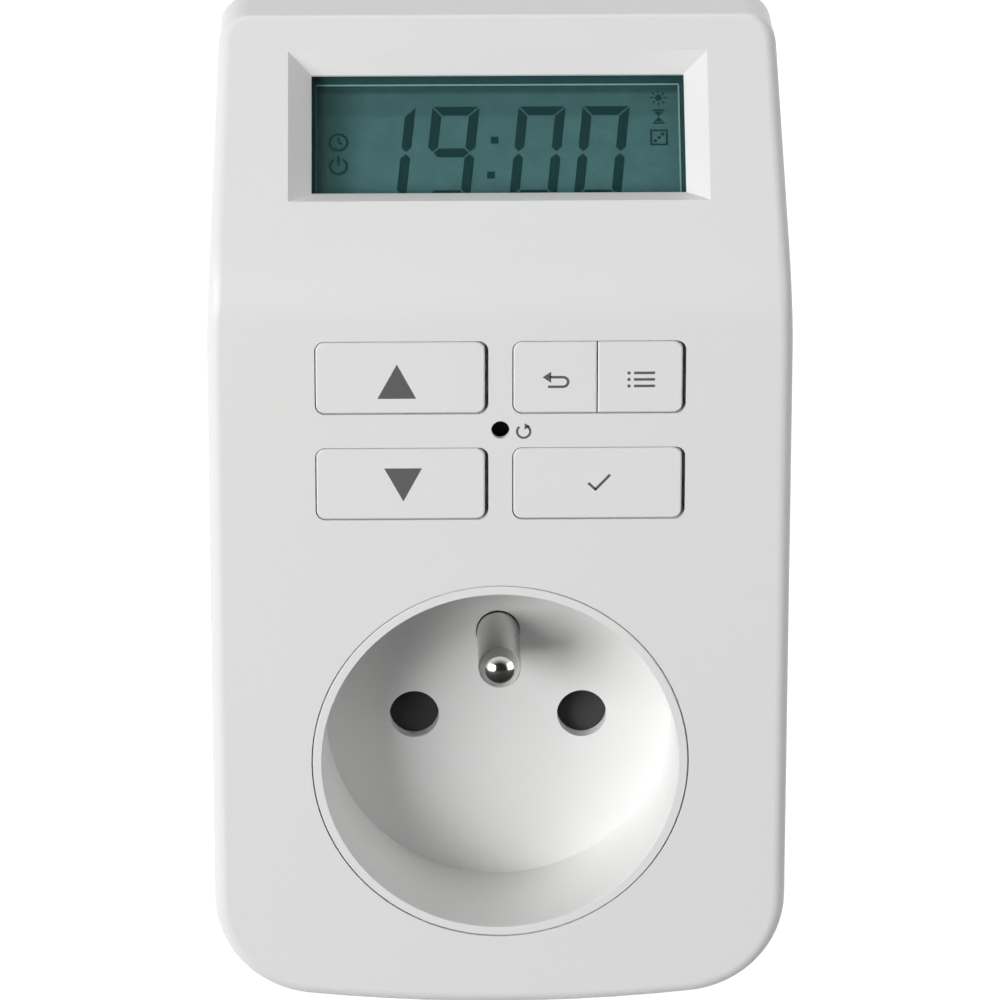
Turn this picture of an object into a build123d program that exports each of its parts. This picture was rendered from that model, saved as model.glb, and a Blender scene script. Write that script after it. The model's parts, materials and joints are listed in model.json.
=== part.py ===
from build123d import *
import os
from math import cos, radians, sin, sqrt, tan

# Plug-in timer switch: a type E socket in front, a sloping display, and a hybrid plug behind.
#
# Millimetres. +Z is up, the plug's pins point along +Y, the socket and the display face -Y.
# Every piece is drawn from the main face: y is the depth behind it, and x = z = 0 is the
# axis that the socket and the plug share. save() then moves each piece along Y, so that the
# origin of the finished part is the centre of the plug's end face.

# ---------------------------------------------------------------- driving dimensions

# Housing
body_width = 64.0
body_bottom = 29.4            # socket axis down to the lowest point of the bowed bottom edge
body_top = 80.2               # socket axis up to the top wall
body_depth = 32.0             # main face to the outside of the rear wall
bottom_bow_radius = 200.0
bottom_corner_radius = 11.8
side_lean = 1.3               # each side leans in by this much at the top
top_corner_radius = 3.2
taper_z = 50.0                # above this height the sides lean in
taper_blend_radius = 120.0
front_edge_radius = 1.4
rear_edge_radius = 1.8
wall = 2.4
parting_depth = 22.5          # where the two shells meet
rear_inset = 0.1              # step of the rear shell inside the front shell's outline
lip_height = 1.5              # the rear shell's lip, inside a rebate of the front shell
lip_outer_inset = 1.3
lip_gap = 0.1

# Bend and display face
bend_z = 56.3                 # sharp line where the main face and the display face would meet
display_tilt = 42.0           # degrees that the display face leans back
bend_radius = 12.0
bezel_width = 46.2
bezel_bottom = 9.55           # along the slope, from the bend line
bezel_top = 27.85
bevel_side = 2.55
bevel_end = 1.95
bevel_depth = 2.1

# Socket insert
well_depth = 15.0
well_rim_radius = 19.9
well_floor_radius = 19.5
insert_radius = 20.93
insert_flange_margin = 1.8
insert_flange = 1.6
insert_floor = 1.8
insert_rim_chamfer = 0.3
insert_clearance = 0.1
live_hole_margin = 0.4        # hole in the floor, round a plug's pin
contact_spacing = 19.0
earth_z = 10.0
chamber_depth = 3.6           # space for the shutter, behind the well's floor
chamber_wall = 1.4
rail_width = 1.4
rail_low = -12.0
rail_high = 4.6

# Keys
key_opening_width = 19.0
key_opening_height = 8.4
key_opening_corner = 1.1
key_gap = 0.12
key_slack = 0.28              # wider gap at the right of each key than at its left
key_edge_chamfer = 0.14
key_spacing = 2.6             # between the left and the right openings
key_top_z = 45.17
key_bottom_z = 32.92
key_split_x = 10.6            # parting line of the two half-width keys
key_flange = 0.9
key_flange_margin = 0.9
key_play = 0.1
key_stem = 0.4                # from a key's flange to the plunger's shoulder
plunger_out = 0.8             # plunger showing in front of its switch
reset_z = 39.15
reset_hole_radius = 1.0
reset_hole_land = 0.7         # thinned wall round the pinhole
reset_relief_radius = 1.8

# Tact switches and the key board
board_thickness = 1.6
key_board_margin = 3.1        # from the side walls
key_board_low_gap = 3.5       # from the socket insert
key_board_top = 51.0
key_post_inset = 2.5
key_post_low_z = 28.0
key_post_high_z = 48.5
switch_size = 6.0
switch_corner_radius = 0.4
reset_switch_size = 4.5
switch_height = 3.4
plunger_radius = 1.75
reset_plunger_radius = 1.2
reset_plunger_gap = 0.5       # behind the wall that the pinhole goes through
plunger_clearance = 0.1
plunger_root = 0.6            # length of plunger inside its switch at rest
plunger_bore = 1.4            # depth of the bore that it slides in

# Display stack, by depth below the display face
window_margin = 1.9
window_corner_radius = 0.8
window_thickness = 1.2
lcd_gap = 0.1
lcd_thickness = 2.2
lcd_margin = 1.5
holder_wall = 0.8
holder_depth = 2.5            # from the glass back to the display board
holder_side_ledge = 0.4
holder_top_ledge = 0.6
holder_bar = 1.1              # between the elastomer strip and the holder's opening
zebra_height = 1.8
zebra_inset = 0.4
zebra_side_gap = 0.2
display_board_margin = 1.25
display_board_low = 3.6
display_board_rise = 1.7      # above the upper posts
display_post_x = 17.0
display_post_low = 5.4
display_post_gap = 0.1        # above the holder
display_post_radius = 1.2
drop_x = 8.0                  # resin drop over the controller
drop_s = 19.0
drop_radius = 5.5
drop_height = 1.4
drop_chamfer = 0.9
crystal_x = -12.4
crystal_s = 7.5
crystal_radius = 1.0
crystal_length = 6.0
ribbon_width = 18.0
ribbon_thickness = 0.3
ribbon_low_run = 7.0          # along each board, from the line where their backs would meet
ribbon_high_run = 6.0

# Shutter and its spring
shutter_overlap = 1.2         # plate beyond the edge of the holes that it covers
shutter_corner_radius = 1.0
shutter_thickness = 2.5
shutter_clearance = 0.2
shutter_ramp = 1.6            # depth of the ramps that a plug's pins press
shutter_edge = 1.0            # plate left above and below each ramp
shutter_peg_radius = 0.7
shutter_peg = 1.8
spring_seat_z = -15.0
spring_seat_thickness = 1.5
spring_seat_width = 6.0
spring_seat_peg = 1.4
spring_wire = 0.2
spring_radius = 1.15
spring_turns = 5
spring_end_gap = 0.1

# Contact carrier
carrier_setback = 0.5         # pocket beyond the clips' free edges
pocket_margin = 0.9           # pocket above and below the clips
slot_reach = 2.9              # the slots' front, ahead of the power board
slot_side_gap = 0.4

# Plug
plug_length = 16.0
plug_radius = 18.75
plug_flange_radius = 21.3
plug_flange = 1.8             # flange that bears on the rear wall from inside
plug_end_wall = 4.0
plug_inner_radius = 16.4
plug_inner_half_x = 13.7
plug_inner_half_z = 14.0
plug_edge_chamfer = 1.0
plug_clearance = 0.15
groove_width = 6.0
groove_depth = 3.2
recess_width = 8.0
recess_floor = 15.6
recess_end = 1.5              # plastic left between the recess and the plug's end face
pin_radius = 2.4              # of the plug's pins and of the socket's earth pin
pin_length = 19.0
pin_tip_radius = 1.6
pin_clearance = 0.05
pin_root_margin = 0.3         # collar where a plug pin passes through plastic
pin_shoulder_margin = 1.0
pin_shoulder = 1.2
pin_rivet_radius = 1.8
pin_rivet_head_radius = 2.6
pin_rivet_head = 0.8
plug_earth_margin = 0.5       # hole in the plug's end, round a wall socket's earth pin
plug_earth_land = 2.0
throat_reach = 1.0            # the round throat, from the main cavity into the plug
clip_slot_outer = 1.6

# Earth parts
earth_pin_tip = 1.4           # the pin's tip, behind the main face
earth_neck = 0.4              # the pin's neck starts this far in front of the well's floor
earth_neck_step = 0.2
earth_shoulder_margin = 0.9
earth_shoulder = 1.2
earth_shank_step = 0.4
earth_head_gap = 0.2          # rivet's head, inside the earth tube
earth_head = 1.0
strap_width = 7.0
strap_thickness = 0.6
strap_setback = 2.8           # behind the contact carrier
strap_leg_z = 15.7
clip_rise = 2.1
clip_end_gap = 0.4
tube_clearance = 0.1
tube_wall = 0.6
tube_slit = 0.6
tube_ring = 4.0               # length of the tube before its slits

# Live and neutral metal
strip = 0.7
clip_web_margin = 1.5         # from the pin to the web
clip_leaf_margin = 0.6        # leaves beyond the pin's far side
clip_setback = 1.2            # behind the shutter's chamber
clip_reach = 3.2              # behind the carrier
clip_lead_in = 1.5
clip_lip = 0.4                # flare at the leaves' mouth
tail_half_height = 2.5
tab_width = 2.4
tab_gap = 0.1
foot_height = 1.4
foot_rise = 3.8               # top of the feet, above the power board's lower edge
foot_depth = 0.8              # how far the feet stand out behind the power board
eyelet_half = 2.8
bus_inner_reach = 1.0         # busbar's edges, each side of the pin's axis
bus_outer_reach = 3.5
bus_foot_width = 2.5
bus_gap = 1.1                 # above the clips
bus_setback = 1.4             # behind the front of its slot

# Power board and what it carries, by height in front of the board
power_post = 1.5              # length of the posts that the power board stands on
power_board_side_gap = 0.4    # from the rear bosses
power_board_low_gap = 2.0     # from the socket insert
power_board_top = 66.0
power_post_inset = 3.0
power_post_low_z = 25.5
power_post_high_z = 63.5
relay_x = -7.0
relay_z = 45.0
relay_length = 29.0
relay_width = 12.7
relay_height = 15.2
relay_wall = 0.8
relay_gap = 0.1
relay_base_height = 2.0
coil_radius = 4.2
coil_length = 16.0
coil_flange_radius = 4.9
coil_flange = 0.8
coil_height = 7.4             # the coil's axis above the board
coil_setback = 2.6            # from the case to the coil's first flange
core_radius = 1.6
yoke_thickness = 1.2
yoke_gap = 0.2                # the yoke's leg, clear of the coil's flanges
yoke_half_width = 4.0
armature_half_width = 3.6
blade_half_width = 2.0
fixed_blade_gap = 0.7         # from the armature
fixed_blade_half_width = 2.5
fixed_blade_top = 8.5
bobbin_foot_half_width = 3.0
arm_drop = 1.3                # the spring blade's arm, below the armature's top
pole_overhang = 0.1           # core standing out of the coil towards the armature
armature_gap = 0.9            # coil's end to the armature
armature_thickness = 1.0
armature_rise = 1.2           # the armature's free end, above the relay's base
hinge_gap = 0.2               # yoke's leg to the armature that rocks on its end
spring_blade = 0.3
fixed_blade = 0.5
contact_button = 0.4
contact_button_radius = 1.2
contact_open = 0.6            # gap between the two buttons while the relay is off
button_height = 4.8
header_gap = 0.45             # from the heads of the key board's screws
header_z = 37.0
header_pins = 8
header_pitch = 2.54
header_pin = 0.64
header_block = 2.5
hole_clearance = 0.1
lead = 0.6                    # side of the square leads
lead_buried = 0.5             # lead inside its component
film_x = (-21.5, -3.5)        # suppression capacitor
film_z = (28.7, 36.2)
film_height = 13.5
film_corner_radius = 0.6
can_x = 13.5                  # smoothing capacitor
can_z = 44.2
can_radius = 5.0
can_height = 13.5
can_crimp = (1.6, 2.4)
can_crimp_depth = 0.4
can_chamfer = 0.5
disc_x = 12.5                 # varistor, on edge
disc_z = 30.0
disc_radius = 4.6
disc_thickness = 3.6
disc_height = 6.2
disc_chamfer = 0.8
disc_lead_spacing = 5.4
fuse_x = (3.0, 17.5)
fuse_z = 36.7
fuse_radius = 1.9
fuse_height = 2.6
diode_x = (3.5, 12.5)
diode_z = (53.0, 56.2, 59.4, 62.6)
diode_radius = 1.3
diode_height = 1.9
axial_lead_run = 2.0          # lead showing at each end of a lying component
driver_x = 17.0               # relay's driver transistor
driver_z = 56.0
driver_radius = 2.4
driver_flat = 1.4             # from the axis to the flat
driver_low = 2.5
driver_high = 7.2
driver_pitch = 1.3
driver_lead = 0.4
cell_x = -13.5                # rechargeable button cell
cell_z = 57.9
cell_radius = 5.8
cell_height = 5.0
cell_chamfer = 0.5
cap_radius = 3.6
cap_height = 0.3

# Screws and bosses
boss_step = 0.5               # the bosses meet this far in front of the parting line
front_boss_radius = 2.8
rear_boss_radius = 3.8
low_boss_inset = 8.5
low_boss_z = -18.5
high_boss_inset = 5.8
high_boss_z = 64.0
gusset_thickness = 1.2
gusset_setback = 6.0          # gussets end this far short of the bosses
counterbore_radius = 2.6
screw_seat = 3.5              # plastic under each housing screw's head
screw_hole_radius = 1.5
screw_radius = 1.25
screw_head_radius = 2.4
screw_head = 1.8
screw_engagement = 8.0
screw_tip_gap = 0.5
post_radius = 2.2
small_screw_radius = 0.9
small_head_radius = 1.8
small_head = 1.1
small_screw_reach = 2.8
small_tip_gap = 0.3
display_screw_radius = 0.65
display_head_radius = 1.3
display_head = 0.8
display_screw_reach = 3.6
display_tip_gap = 0.6

# ---------------------------------------------------------------- shared places

top_width = body_width - 2 * side_lean
plug_end = body_depth + plug_length
rear_wall_depth = body_depth - wall

insert_flange_radius = insert_radius + insert_flange_margin
floor_back = well_depth + insert_floor
chamber_back = floor_back + chamber_depth
carrier_back = rear_wall_depth - plug_flange
strap_depth = carrier_back + strap_setback
strap_back = strap_depth + strap_thickness
end_wall_front = plug_end - plug_end_wall
eyelet_back = end_wall_front - pin_shoulder

contact_x = contact_spacing / 2
live_hole_radius = pin_radius + live_hole_margin
pin_root_radius = pin_radius + pin_root_margin
earth_neck_radius = pin_radius - earth_neck_step
earth_hole_radius = pin_radius + hole_clearance
shutter_width = 2 * (contact_x + live_hole_radius + shutter_overlap)
shutter_height = 2 * (live_hole_radius + shutter_overlap)
clip_front = chamber_back + clip_setback
clip_back = carrier_back + clip_reach
clip_half_height = pin_radius + strip
web_inner = contact_x - pin_radius - clip_web_margin
leaf_outer = contact_x + pin_radius + clip_leaf_margin
pocket_half_height = clip_half_height + pocket_margin
bus_x_range = (-contact_x - bus_outer_reach, -contact_x + bus_inner_reach)
bus_foot_range = (-contact_x - bus_foot_width, -contact_x)
bus_z = clip_half_height + bus_gap
tube_inner_radius = pin_radius + tube_clearance
tube_outer_radius = tube_inner_radius + tube_wall
earth_shank_radius = pin_radius - earth_shank_step
earth_head_radius = tube_inner_radius - earth_head_gap

key_width = key_opening_width - 2 * key_gap - key_slack
key_height = key_opening_height - 2 * key_gap
key_corner_radius = key_opening_corner - key_gap
key_x = (key_opening_width + key_spacing) / 2
key_back = wall + key_play + key_flange
plunger_front = key_back + key_stem
switch_front = plunger_front + plunger_out
key_board_depth = switch_front + switch_height
key_board_back = key_board_depth + board_thickness
key_board_width = body_width - 2 * (wall + key_board_margin)
key_board_bottom = insert_radius + key_board_low_gap
key_post_x = key_board_width / 2 - key_post_inset

window_back = wall + window_thickness
lcd_front = window_back + lcd_gap
lcd_back = lcd_front + lcd_thickness
holder_back = lcd_back + holder_depth
display_back = holder_back + board_thickness
bezel_middle = (bezel_bottom + bezel_top) / 2
opening_width = bezel_width - 2 * bevel_side
opening_height = bezel_top - bezel_bottom - 2 * bevel_end
display_board_width = opening_width + 2 * display_board_margin
holder_top = bezel_middle + opening_height / 2 + lcd_margin + lcd_gap + holder_wall
display_post_high = holder_top + display_post_gap + display_post_radius
display_board_high = display_post_high + display_board_rise

boss_depth = parting_depth - boss_step
counterbore_floor = boss_depth + screw_seat
low_boss_x = body_width / 2 - low_boss_inset
high_boss_x = body_width / 2 - high_boss_inset
power_back = rear_wall_depth - power_post
power_depth = power_back - board_thickness
power_board_width = 2 * (high_boss_x - rear_boss_radius - power_board_side_gap)
power_board_bottom = insert_radius + power_board_low_gap
power_post_x = power_board_width / 2 - power_post_inset
header_x = key_post_x - small_head_radius - header_gap - header_block / 2
slot_front = power_depth - slot_reach
foot_top = power_board_bottom + foot_rise
housing_screws = [
    (-low_boss_x, low_boss_z),
    (low_boss_x, low_boss_z),
    (-high_boss_x, high_boss_z),
    (high_boss_x, high_boss_z),
]
key_posts = [(x, z) for x in (-key_post_x, key_post_x) for z in (key_post_low_z, key_post_high_z)]
power_posts = [
    (x, z) for x in (-power_post_x, power_post_x) for z in (power_post_low_z, power_post_high_z)
]
display_posts = [
    (x, s) for x in (-display_post_x, display_post_x) for s in (display_post_low, display_post_high)
]
key_places = {
    "up": (-key_x, key_top_z),
    "down": (-key_x, key_bottom_z),
    "ok": (key_x, key_bottom_z),
    "recall": ((key_x - key_width / 2 + key_split_x) / 2, key_top_z),
    "menu": ((key_x + key_width / 2 + key_split_x) / 2, key_top_z),
}
header_places = [
    header_z + (i - (header_pins - 1) / 2) * header_pitch for i in range(header_pins)
]


# ---------------------------------------------------------------- helpers

def face_plane(depth=0.0):
    """Plane `depth` behind the main face: local x is +X, local y is +Z."""
    return Plane(origin=(0, depth, 0), x_dir=(1, 0, 0), z_dir=(0, -1, 0))


def slab(sketch, front, back):
    """An X-Z sketch carried from the depth `front` back to the depth `back`."""
    return extrude(face_plane(front) * sketch, amount=front - back)


def rod(x, z, radius, front, back):
    """A round bar along Y."""
    return slab(Pos(x, z) * Circle(radius), front, back)


def block(x_range, depth_range, z_range):
    """A box between two values along each axis."""
    low = Vector(min(x_range), min(depth_range), min(z_range))
    high = Vector(max(x_range), max(depth_range), max(z_range))
    size = high - low
    return Pos(*(low + high) / 2) * Box(size.X, size.Y, size.Z)


def side_slab(outline, x_range):
    """A (depth, z) outline carried between two values of x."""
    start = min(x_range)
    plane = Plane(origin=(start, 0, 0), x_dir=(0, 1, 0), z_dir=(1, 0, 0))
    return extrude(plane * outline, amount=max(x_range) - start)


def display_plane(depth=0.0):
    """Plane `depth` below the display face: local x is +X, local y runs up the slope."""
    lean = radians(display_tilt)
    normal = Vector(0, -cos(lean), sin(lean))
    origin = Vector(0, 0, bend_z) - normal * depth
    return Plane(origin=origin, x_dir=(1, 0, 0), z_dir=normal)


def display_slab(sketch, front, back):
    """A sketch on the display face carried from one depth below it to another."""
    return extrude(display_plane(front) * sketch, amount=front - back)


def display_rod(x, s, radius, front, back):
    """A round bar square to the display face."""
    return display_slab(Pos(x, s) * Circle(radius), front, back)


def display_box(half_x, s_range, depth_range):
    """A block square to the display face, centred on x = 0."""
    s_low, s_high = s_range
    sketch = Pos(0, (s_low + s_high) / 2) * Rectangle(2 * half_x, s_high - s_low)
    return display_slab(sketch, *depth_range)


# ---------------------------------------------------------------- housing shape

def plan_outline(inset=0.0):
    """The body seen from the front, drawn in by `inset`."""
    half = body_width / 2
    half_top = top_width / 2
    bow = bottom_bow_radius - sqrt(bottom_bow_radius**2 - half**2)
    low = -body_bottom + bow
    bottom = ThreePointArc((-half, low), (0, -body_bottom), (half, low))
    rest = Polyline(
        (half, low),
        (half, taper_z),
        (half_top, body_top),
        (-half_top, body_top),
        (-half, taper_z),
        (-half, low),
    )
    face = make_face([*bottom.edges(), *rest.edges()])
    face = fillet(face.vertices().group_by(Axis.Y)[0], bottom_corner_radius)
    shoulders = [v for v in face.vertices() if abs(v.Y - taper_z) < 0.01]
    face = fillet(shoulders, taper_blend_radius)
    face = fillet(face.vertices().group_by(Axis.Y)[-1], top_corner_radius)
    return offset(face, amount=-inset, kind=Kind.INTERSECTION) if inset else face


def side_profile(inset=0.0):
    """The body seen from the side, (depth, z): straight, bent back at the display, open behind."""
    lean = radians(display_tilt)
    reach = 2 * body_top
    corner = bend_z - inset * tan(lean / 2)
    face = make_face(
        Polyline(
            (inset, -reach),
            (inset, corner),
            (inset + reach * sin(lean), corner + reach * cos(lean)),
            (2 * reach, corner + reach * cos(lean)),
            (2 * reach, -reach),
            close=True,
        )
    )
    bend = [v for v in face.vertices() if abs(v.Y - corner) < 0.01]
    return fillet(bend, bend_radius - inset)


def body_form(inset, back, front=None):
    """The whole body's solid form drawn in by `inset`, between two depths."""
    front = inset if front is None else front
    plan = slab(plan_outline(inset), front, back)
    return plan & side_slab(side_profile(inset), (-body_width, body_width))


def front_rim(solid):
    """The edges that run round the main face, the bend and the display face."""
    faces = [f for f in solid.faces() if f.normal_at(f.center()).Y < -0.5]
    edges = [e for f in faces for e in f.edges()]

    def crosses(edge):
        middle = edge.center()
        return abs(middle.X) < 0.1 and 0 < middle.Z < body_top - 5

    return [e for e in edges if not crosses(e)]


# ---------------------------------------------------------------- housing pieces

def key_opening(x, z):
    """The opening in the main face round a full-width key."""
    return Pos(x, z) * RectangleRounded(key_opening_width, key_opening_height, key_opening_corner)


def display_opening():
    """The mitred bezel, cut down through the wall."""
    outer = Pos(0, bezel_middle) * Rectangle(bezel_width, bezel_top - bezel_bottom)
    inner = Pos(0, bezel_middle) * Rectangle(opening_width, opening_height)
    bevel = loft([display_plane(0) * outer, display_plane(bevel_depth) * inner])
    return bevel + display_slab(inner, bevel_depth / 2, 2 * wall)


def front_housing():
    shell = body_form(0.0, parting_depth)
    shell = fillet(front_rim(shell), front_edge_radius)
    cavity = body_form(wall, parting_depth + wall)
    rebate = body_form(lip_outer_inset, parting_depth + wall, front=parting_depth - lip_height)
    shell -= cavity
    inside = body_form(wall / 2, body_depth)
    for x, z in housing_screws:
        shell += rod(x, z, front_boss_radius, wall / 2, boss_depth) & inside
    for side in (-1, 1):
        shell += boss_gusset(side, wall / 2, boss_depth - gusset_setback) & inside
    for x, z in key_posts:
        shell += rod(x, z, post_radius, wall / 2, key_board_depth)
    for x, s in display_posts:
        shell += display_rod(x, s, display_post_radius, wall / 2, holder_back)
    shell -= rebate - inside_bosses()
    for x, z in housing_screws:
        shell -= rod(x, z, screw_radius, boss_depth - screw_engagement, boss_depth + wall)
    for x, z in key_posts:
        shell -= rod(x, z, small_screw_radius, key_board_depth - small_screw_reach, key_board_back)
    for x, s in display_posts:
        reach = holder_back - display_screw_reach
        shell -= display_rod(x, s, display_screw_radius, reach, holder_back + wall)
    shell -= rod(0, 0, insert_radius + insert_clearance, -wall, 2 * wall)
    for x in (-key_x, key_x):
        for z in (key_top_z, key_bottom_z):
            shell -= slab(key_opening(x, z), -wall, 2 * wall)
    shell -= rod(0, reset_z, reset_hole_radius, -wall, 2 * wall)
    shell -= rod(0, reset_z, reset_relief_radius, reset_hole_land, 2 * wall)
    shell -= display_opening()
    return shell


def boss_gusset(side, front, back):
    """The web from a lower boss to the side wall."""
    half = gusset_thickness / 2
    x_range = (side * low_boss_x, side * body_width / 2)
    return block(x_range, (front, back), (low_boss_z - half, low_boss_z + half))


def inside_bosses():
    """The bosses and posts that pass through the rebate's depth and keep their full length."""
    kept = Part()
    for x, z in housing_screws:
        kept += rod(x, z, front_boss_radius, 0, boss_depth) & body_form(wall, body_depth)
    for x, s in display_posts:
        kept += display_rod(x, s, display_post_radius, wall / 2, holder_back)
    return kept


def rear_housing():
    outline = plan_outline(rear_inset)
    shell = slab(outline, parting_depth, body_depth)
    back_edges = shell.faces().sort_by(Axis.Y)[-1].edges()
    shell = fillet(back_edges, rear_edge_radius)
    inner = plan_outline(rear_inset + wall)
    shell -= slab(inner, parting_depth - wall, rear_wall_depth)
    lip_inset = lip_outer_inset + lip_gap
    lip_front = parting_depth - lip_height + lip_gap
    lip = body_form(lip_inset, parting_depth + 1, front=lip_front)
    lip -= body_form(rear_inset + wall, body_depth)
    for x, z in housing_screws:
        lip -= rod(x, z, front_boss_radius + lip_gap, 0, boss_depth)
    shell += lip
    outer = slab(outline, boss_depth, body_depth - rear_edge_radius)
    for x, z in housing_screws:
        shell += rod(x, z, rear_boss_radius, boss_depth, rear_wall_depth + wall / 2) & outer
    for side in (-1, 1):
        shell += boss_gusset(side, counterbore_floor - wall, rear_wall_depth + wall / 2) & outer
    for x, z in power_posts:
        shell += rod(x, z, post_radius, power_back, rear_wall_depth + wall / 2)
    for x, z in housing_screws:
        shell -= rod(x, z, screw_hole_radius, 0, body_depth)
        shell -= rod(x, z, counterbore_radius, counterbore_floor, body_depth + wall)
    for x, z in power_posts:
        shell -= rod(x, z, small_screw_radius, 0, power_back + small_screw_reach)
    for x, s in display_posts:
        shell -= display_rod(x, s, display_post_radius + lip_gap, 0, holder_back)
    shell -= rod(0, 0, plug_radius + plug_clearance, 0, body_depth + wall)
    return shell


# ---------------------------------------------------------------- socket

def socket_insert():
    ring = rod(0, 0, insert_radius, 0, chamber_back)
    ring = chamfer(ring.faces().sort_by(Axis.Y)[0].edges(), insert_rim_chamfer)
    ring += rod(0, 0, insert_flange_radius, wall, wall + insert_flange)
    ring -= loft(
        [
            face_plane(-0.001) * Circle(well_rim_radius),
            face_plane(well_depth) * Circle(well_floor_radius),
        ]
    )
    ring -= loft(
        [
            face_plane(-0.001) * Circle(well_rim_radius + insert_rim_chamfer),
            face_plane(insert_rim_chamfer) * Circle(well_rim_radius),
        ]
    )
    ring -= rod(0, 0, insert_radius - chamber_wall, floor_back, chamber_back + wall)
    rail_inner = shutter_width / 2 + shutter_clearance
    rail_back = floor_back + shutter_clearance + shutter_thickness
    for side in (-1, 1):
        ring += block(
            (side * rail_inner, side * (rail_inner + rail_width)),
            (floor_back, rail_back),
            (rail_low, rail_high),
        )
    ring += block(
        (-spring_seat_width / 2, spring_seat_width / 2),
        (floor_back, chamber_back - shutter_clearance),
        (spring_seat_z - spring_seat_thickness, spring_seat_z),
    )
    ring += spring_peg(spring_seat_z - spring_seat_thickness / 2, spring_seat_z + spring_seat_peg)
    for x in (-contact_x, contact_x):
        ring -= rod(x, 0, live_hole_radius, 0, floor_back + wall)
    ring -= rod(0, earth_z, earth_hole_radius, 0, floor_back + wall)
    return ring


def spring_depth():
    """Depth of the shutter spring's axis."""
    return floor_back + shutter_clearance + shutter_thickness / 2


def spring_peg(low, high):
    """An upright peg that the shutter's spring sits on."""
    return Pos(0, spring_depth(), (low + high) / 2) * Cylinder(shutter_peg_radius, high - low)


def shutter():
    """The plate that covers both socket holes; a plug's pins press its ramps and push it down."""
    front = floor_back + shutter_clearance
    back = front + shutter_thickness
    half = shutter_height / 2
    outline = RectangleRounded(shutter_width, shutter_height, shutter_corner_radius)
    plate = slab(outline, front, back)
    ramp_half = half - shutter_edge
    ramp = make_face(
        Polyline(
            (front, -ramp_half),
            (front + shutter_ramp, ramp_half),
            (front - 1, ramp_half),
            (front - 1, -ramp_half),
            close=True,
        )
    )
    reach = live_hole_radius + shutter_edge / 2
    for x in (-contact_x, contact_x):
        plate -= side_slab(ramp, (x - reach, x + reach))
    return plate + spring_peg(-half - shutter_peg, 1 - half)


def shutter_spring():
    """The compression spring between the shutter and its seat."""
    low = spring_seat_z + spring_end_gap + spring_wire
    high = -shutter_height / 2 - spring_end_gap - spring_wire
    pitch = (high - low) / spring_turns
    path = Helix(pitch=pitch, height=high - low, radius=spring_radius)
    section = Plane(origin=path @ 0, z_dir=path % 0) * RegularPolygon(spring_wire, 4)
    return Pos(0, spring_depth(), low) * sweep(section, path=path)


def earth_pin():
    """The socket's earth pin, riveted to the earth strap behind the carrier."""
    neck_front = well_depth - earth_neck
    pin = rod(0, earth_z, pin_radius, earth_pin_tip + pin_radius, neck_front)
    pin += Pos(0, earth_pin_tip + pin_radius, earth_z) * Sphere(pin_radius)
    pin += rod(0, earth_z, earth_neck_radius, neck_front, floor_back)
    shoulder_radius = pin_radius + earth_shoulder_margin
    pin += rod(0, earth_z, shoulder_radius, floor_back, floor_back + earth_shoulder)
    pin += rod(0, earth_z, earth_shank_radius, floor_back, strap_back)
    return pin + rod(0, earth_z, earth_head_radius, strap_back, strap_back + earth_head)


# ---------------------------------------------------------------- keys and tact switches

def key(name):
    x, z = key_places[name]
    full_x = (-key_x if x < 0 else key_x) - key_slack / 2
    cap = slab(Pos(full_x, z) * RectangleRounded(key_width, key_height, key_corner_radius), 0, key_back)
    flange_sketch = Pos(full_x, z) * RectangleRounded(
        key_width + 2 * key_flange_margin,
        key_height + 2 * key_flange_margin,
        key_corner_radius + key_flange_margin,
    )
    body = cap + slab(flange_sketch, wall + key_play, key_back)
    reach = key_width
    if name == "recall":
        body &= block((key_split_x - reach, key_split_x - key_gap / 2), (0, key_back), (0, body_top))
    if name == "menu":
        body &= block((key_split_x + key_gap / 2, key_split_x + reach), (0, key_back), (0, body_top))
    body = chamfer(body.faces().sort_by(Axis.Y)[0].edges(), key_edge_chamfer)
    return body + rod(x, z, plunger_radius, wall, plunger_front)


def switch_body(name):
    """The case of one tact switch, with the bore that its plunger slides in."""
    small = name == "reset"
    x, z = (0, reset_z) if small else key_places[name]
    size = reset_switch_size if small else switch_size
    radius = (reset_plunger_radius if small else plunger_radius) + plunger_clearance
    outline = Pos(x, z) * RectangleRounded(size, size, switch_corner_radius)
    case = slab(outline, switch_front, key_board_depth)
    return case - rod(x, z, radius, 0, switch_front + plunger_bore)


def plunger(name):
    """The plunger of one tact switch."""
    small = name == "reset"
    x, z = (0, reset_z) if small else key_places[name]
    radius = reset_plunger_radius if small else plunger_radius
    front = wall + reset_plunger_gap if small else plunger_front
    return rod(x, z, radius, front, switch_front + plunger_root)


def key_board():
    centre = (key_board_bottom + key_board_top) / 2
    board = slab(
        Pos(0, centre) * Rectangle(key_board_width, key_board_top - key_board_bottom),
        key_board_depth,
        key_board_back,
    )
    for x, z in key_posts:
        board -= rod(x, z, small_screw_radius + hole_clearance, 0, body_depth)
    return board - header_holes()


# ---------------------------------------------------------------- display stack

def lcd_window():
    """The clear pane that closes the bezel from inside."""
    sketch = Pos(0, bezel_middle) * RectangleRounded(
        opening_width + 2 * window_margin, opening_height + 2 * window_margin, window_corner_radius
    )
    return display_slab(sketch, wall, window_back)


def lcd_sketch(margin):
    return Pos(0, bezel_middle) * Rectangle(
        opening_width + 2 * margin, opening_height + 2 * margin
    )


def lcd_glass():
    return display_slab(lcd_sketch(lcd_margin), lcd_front, lcd_back)


def zebra_range():
    """The elastomer strip's place along the slope, at the glass's lower edge."""
    low = bezel_middle - opening_height / 2 - lcd_margin + zebra_inset
    return low, low + zebra_height


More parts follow.
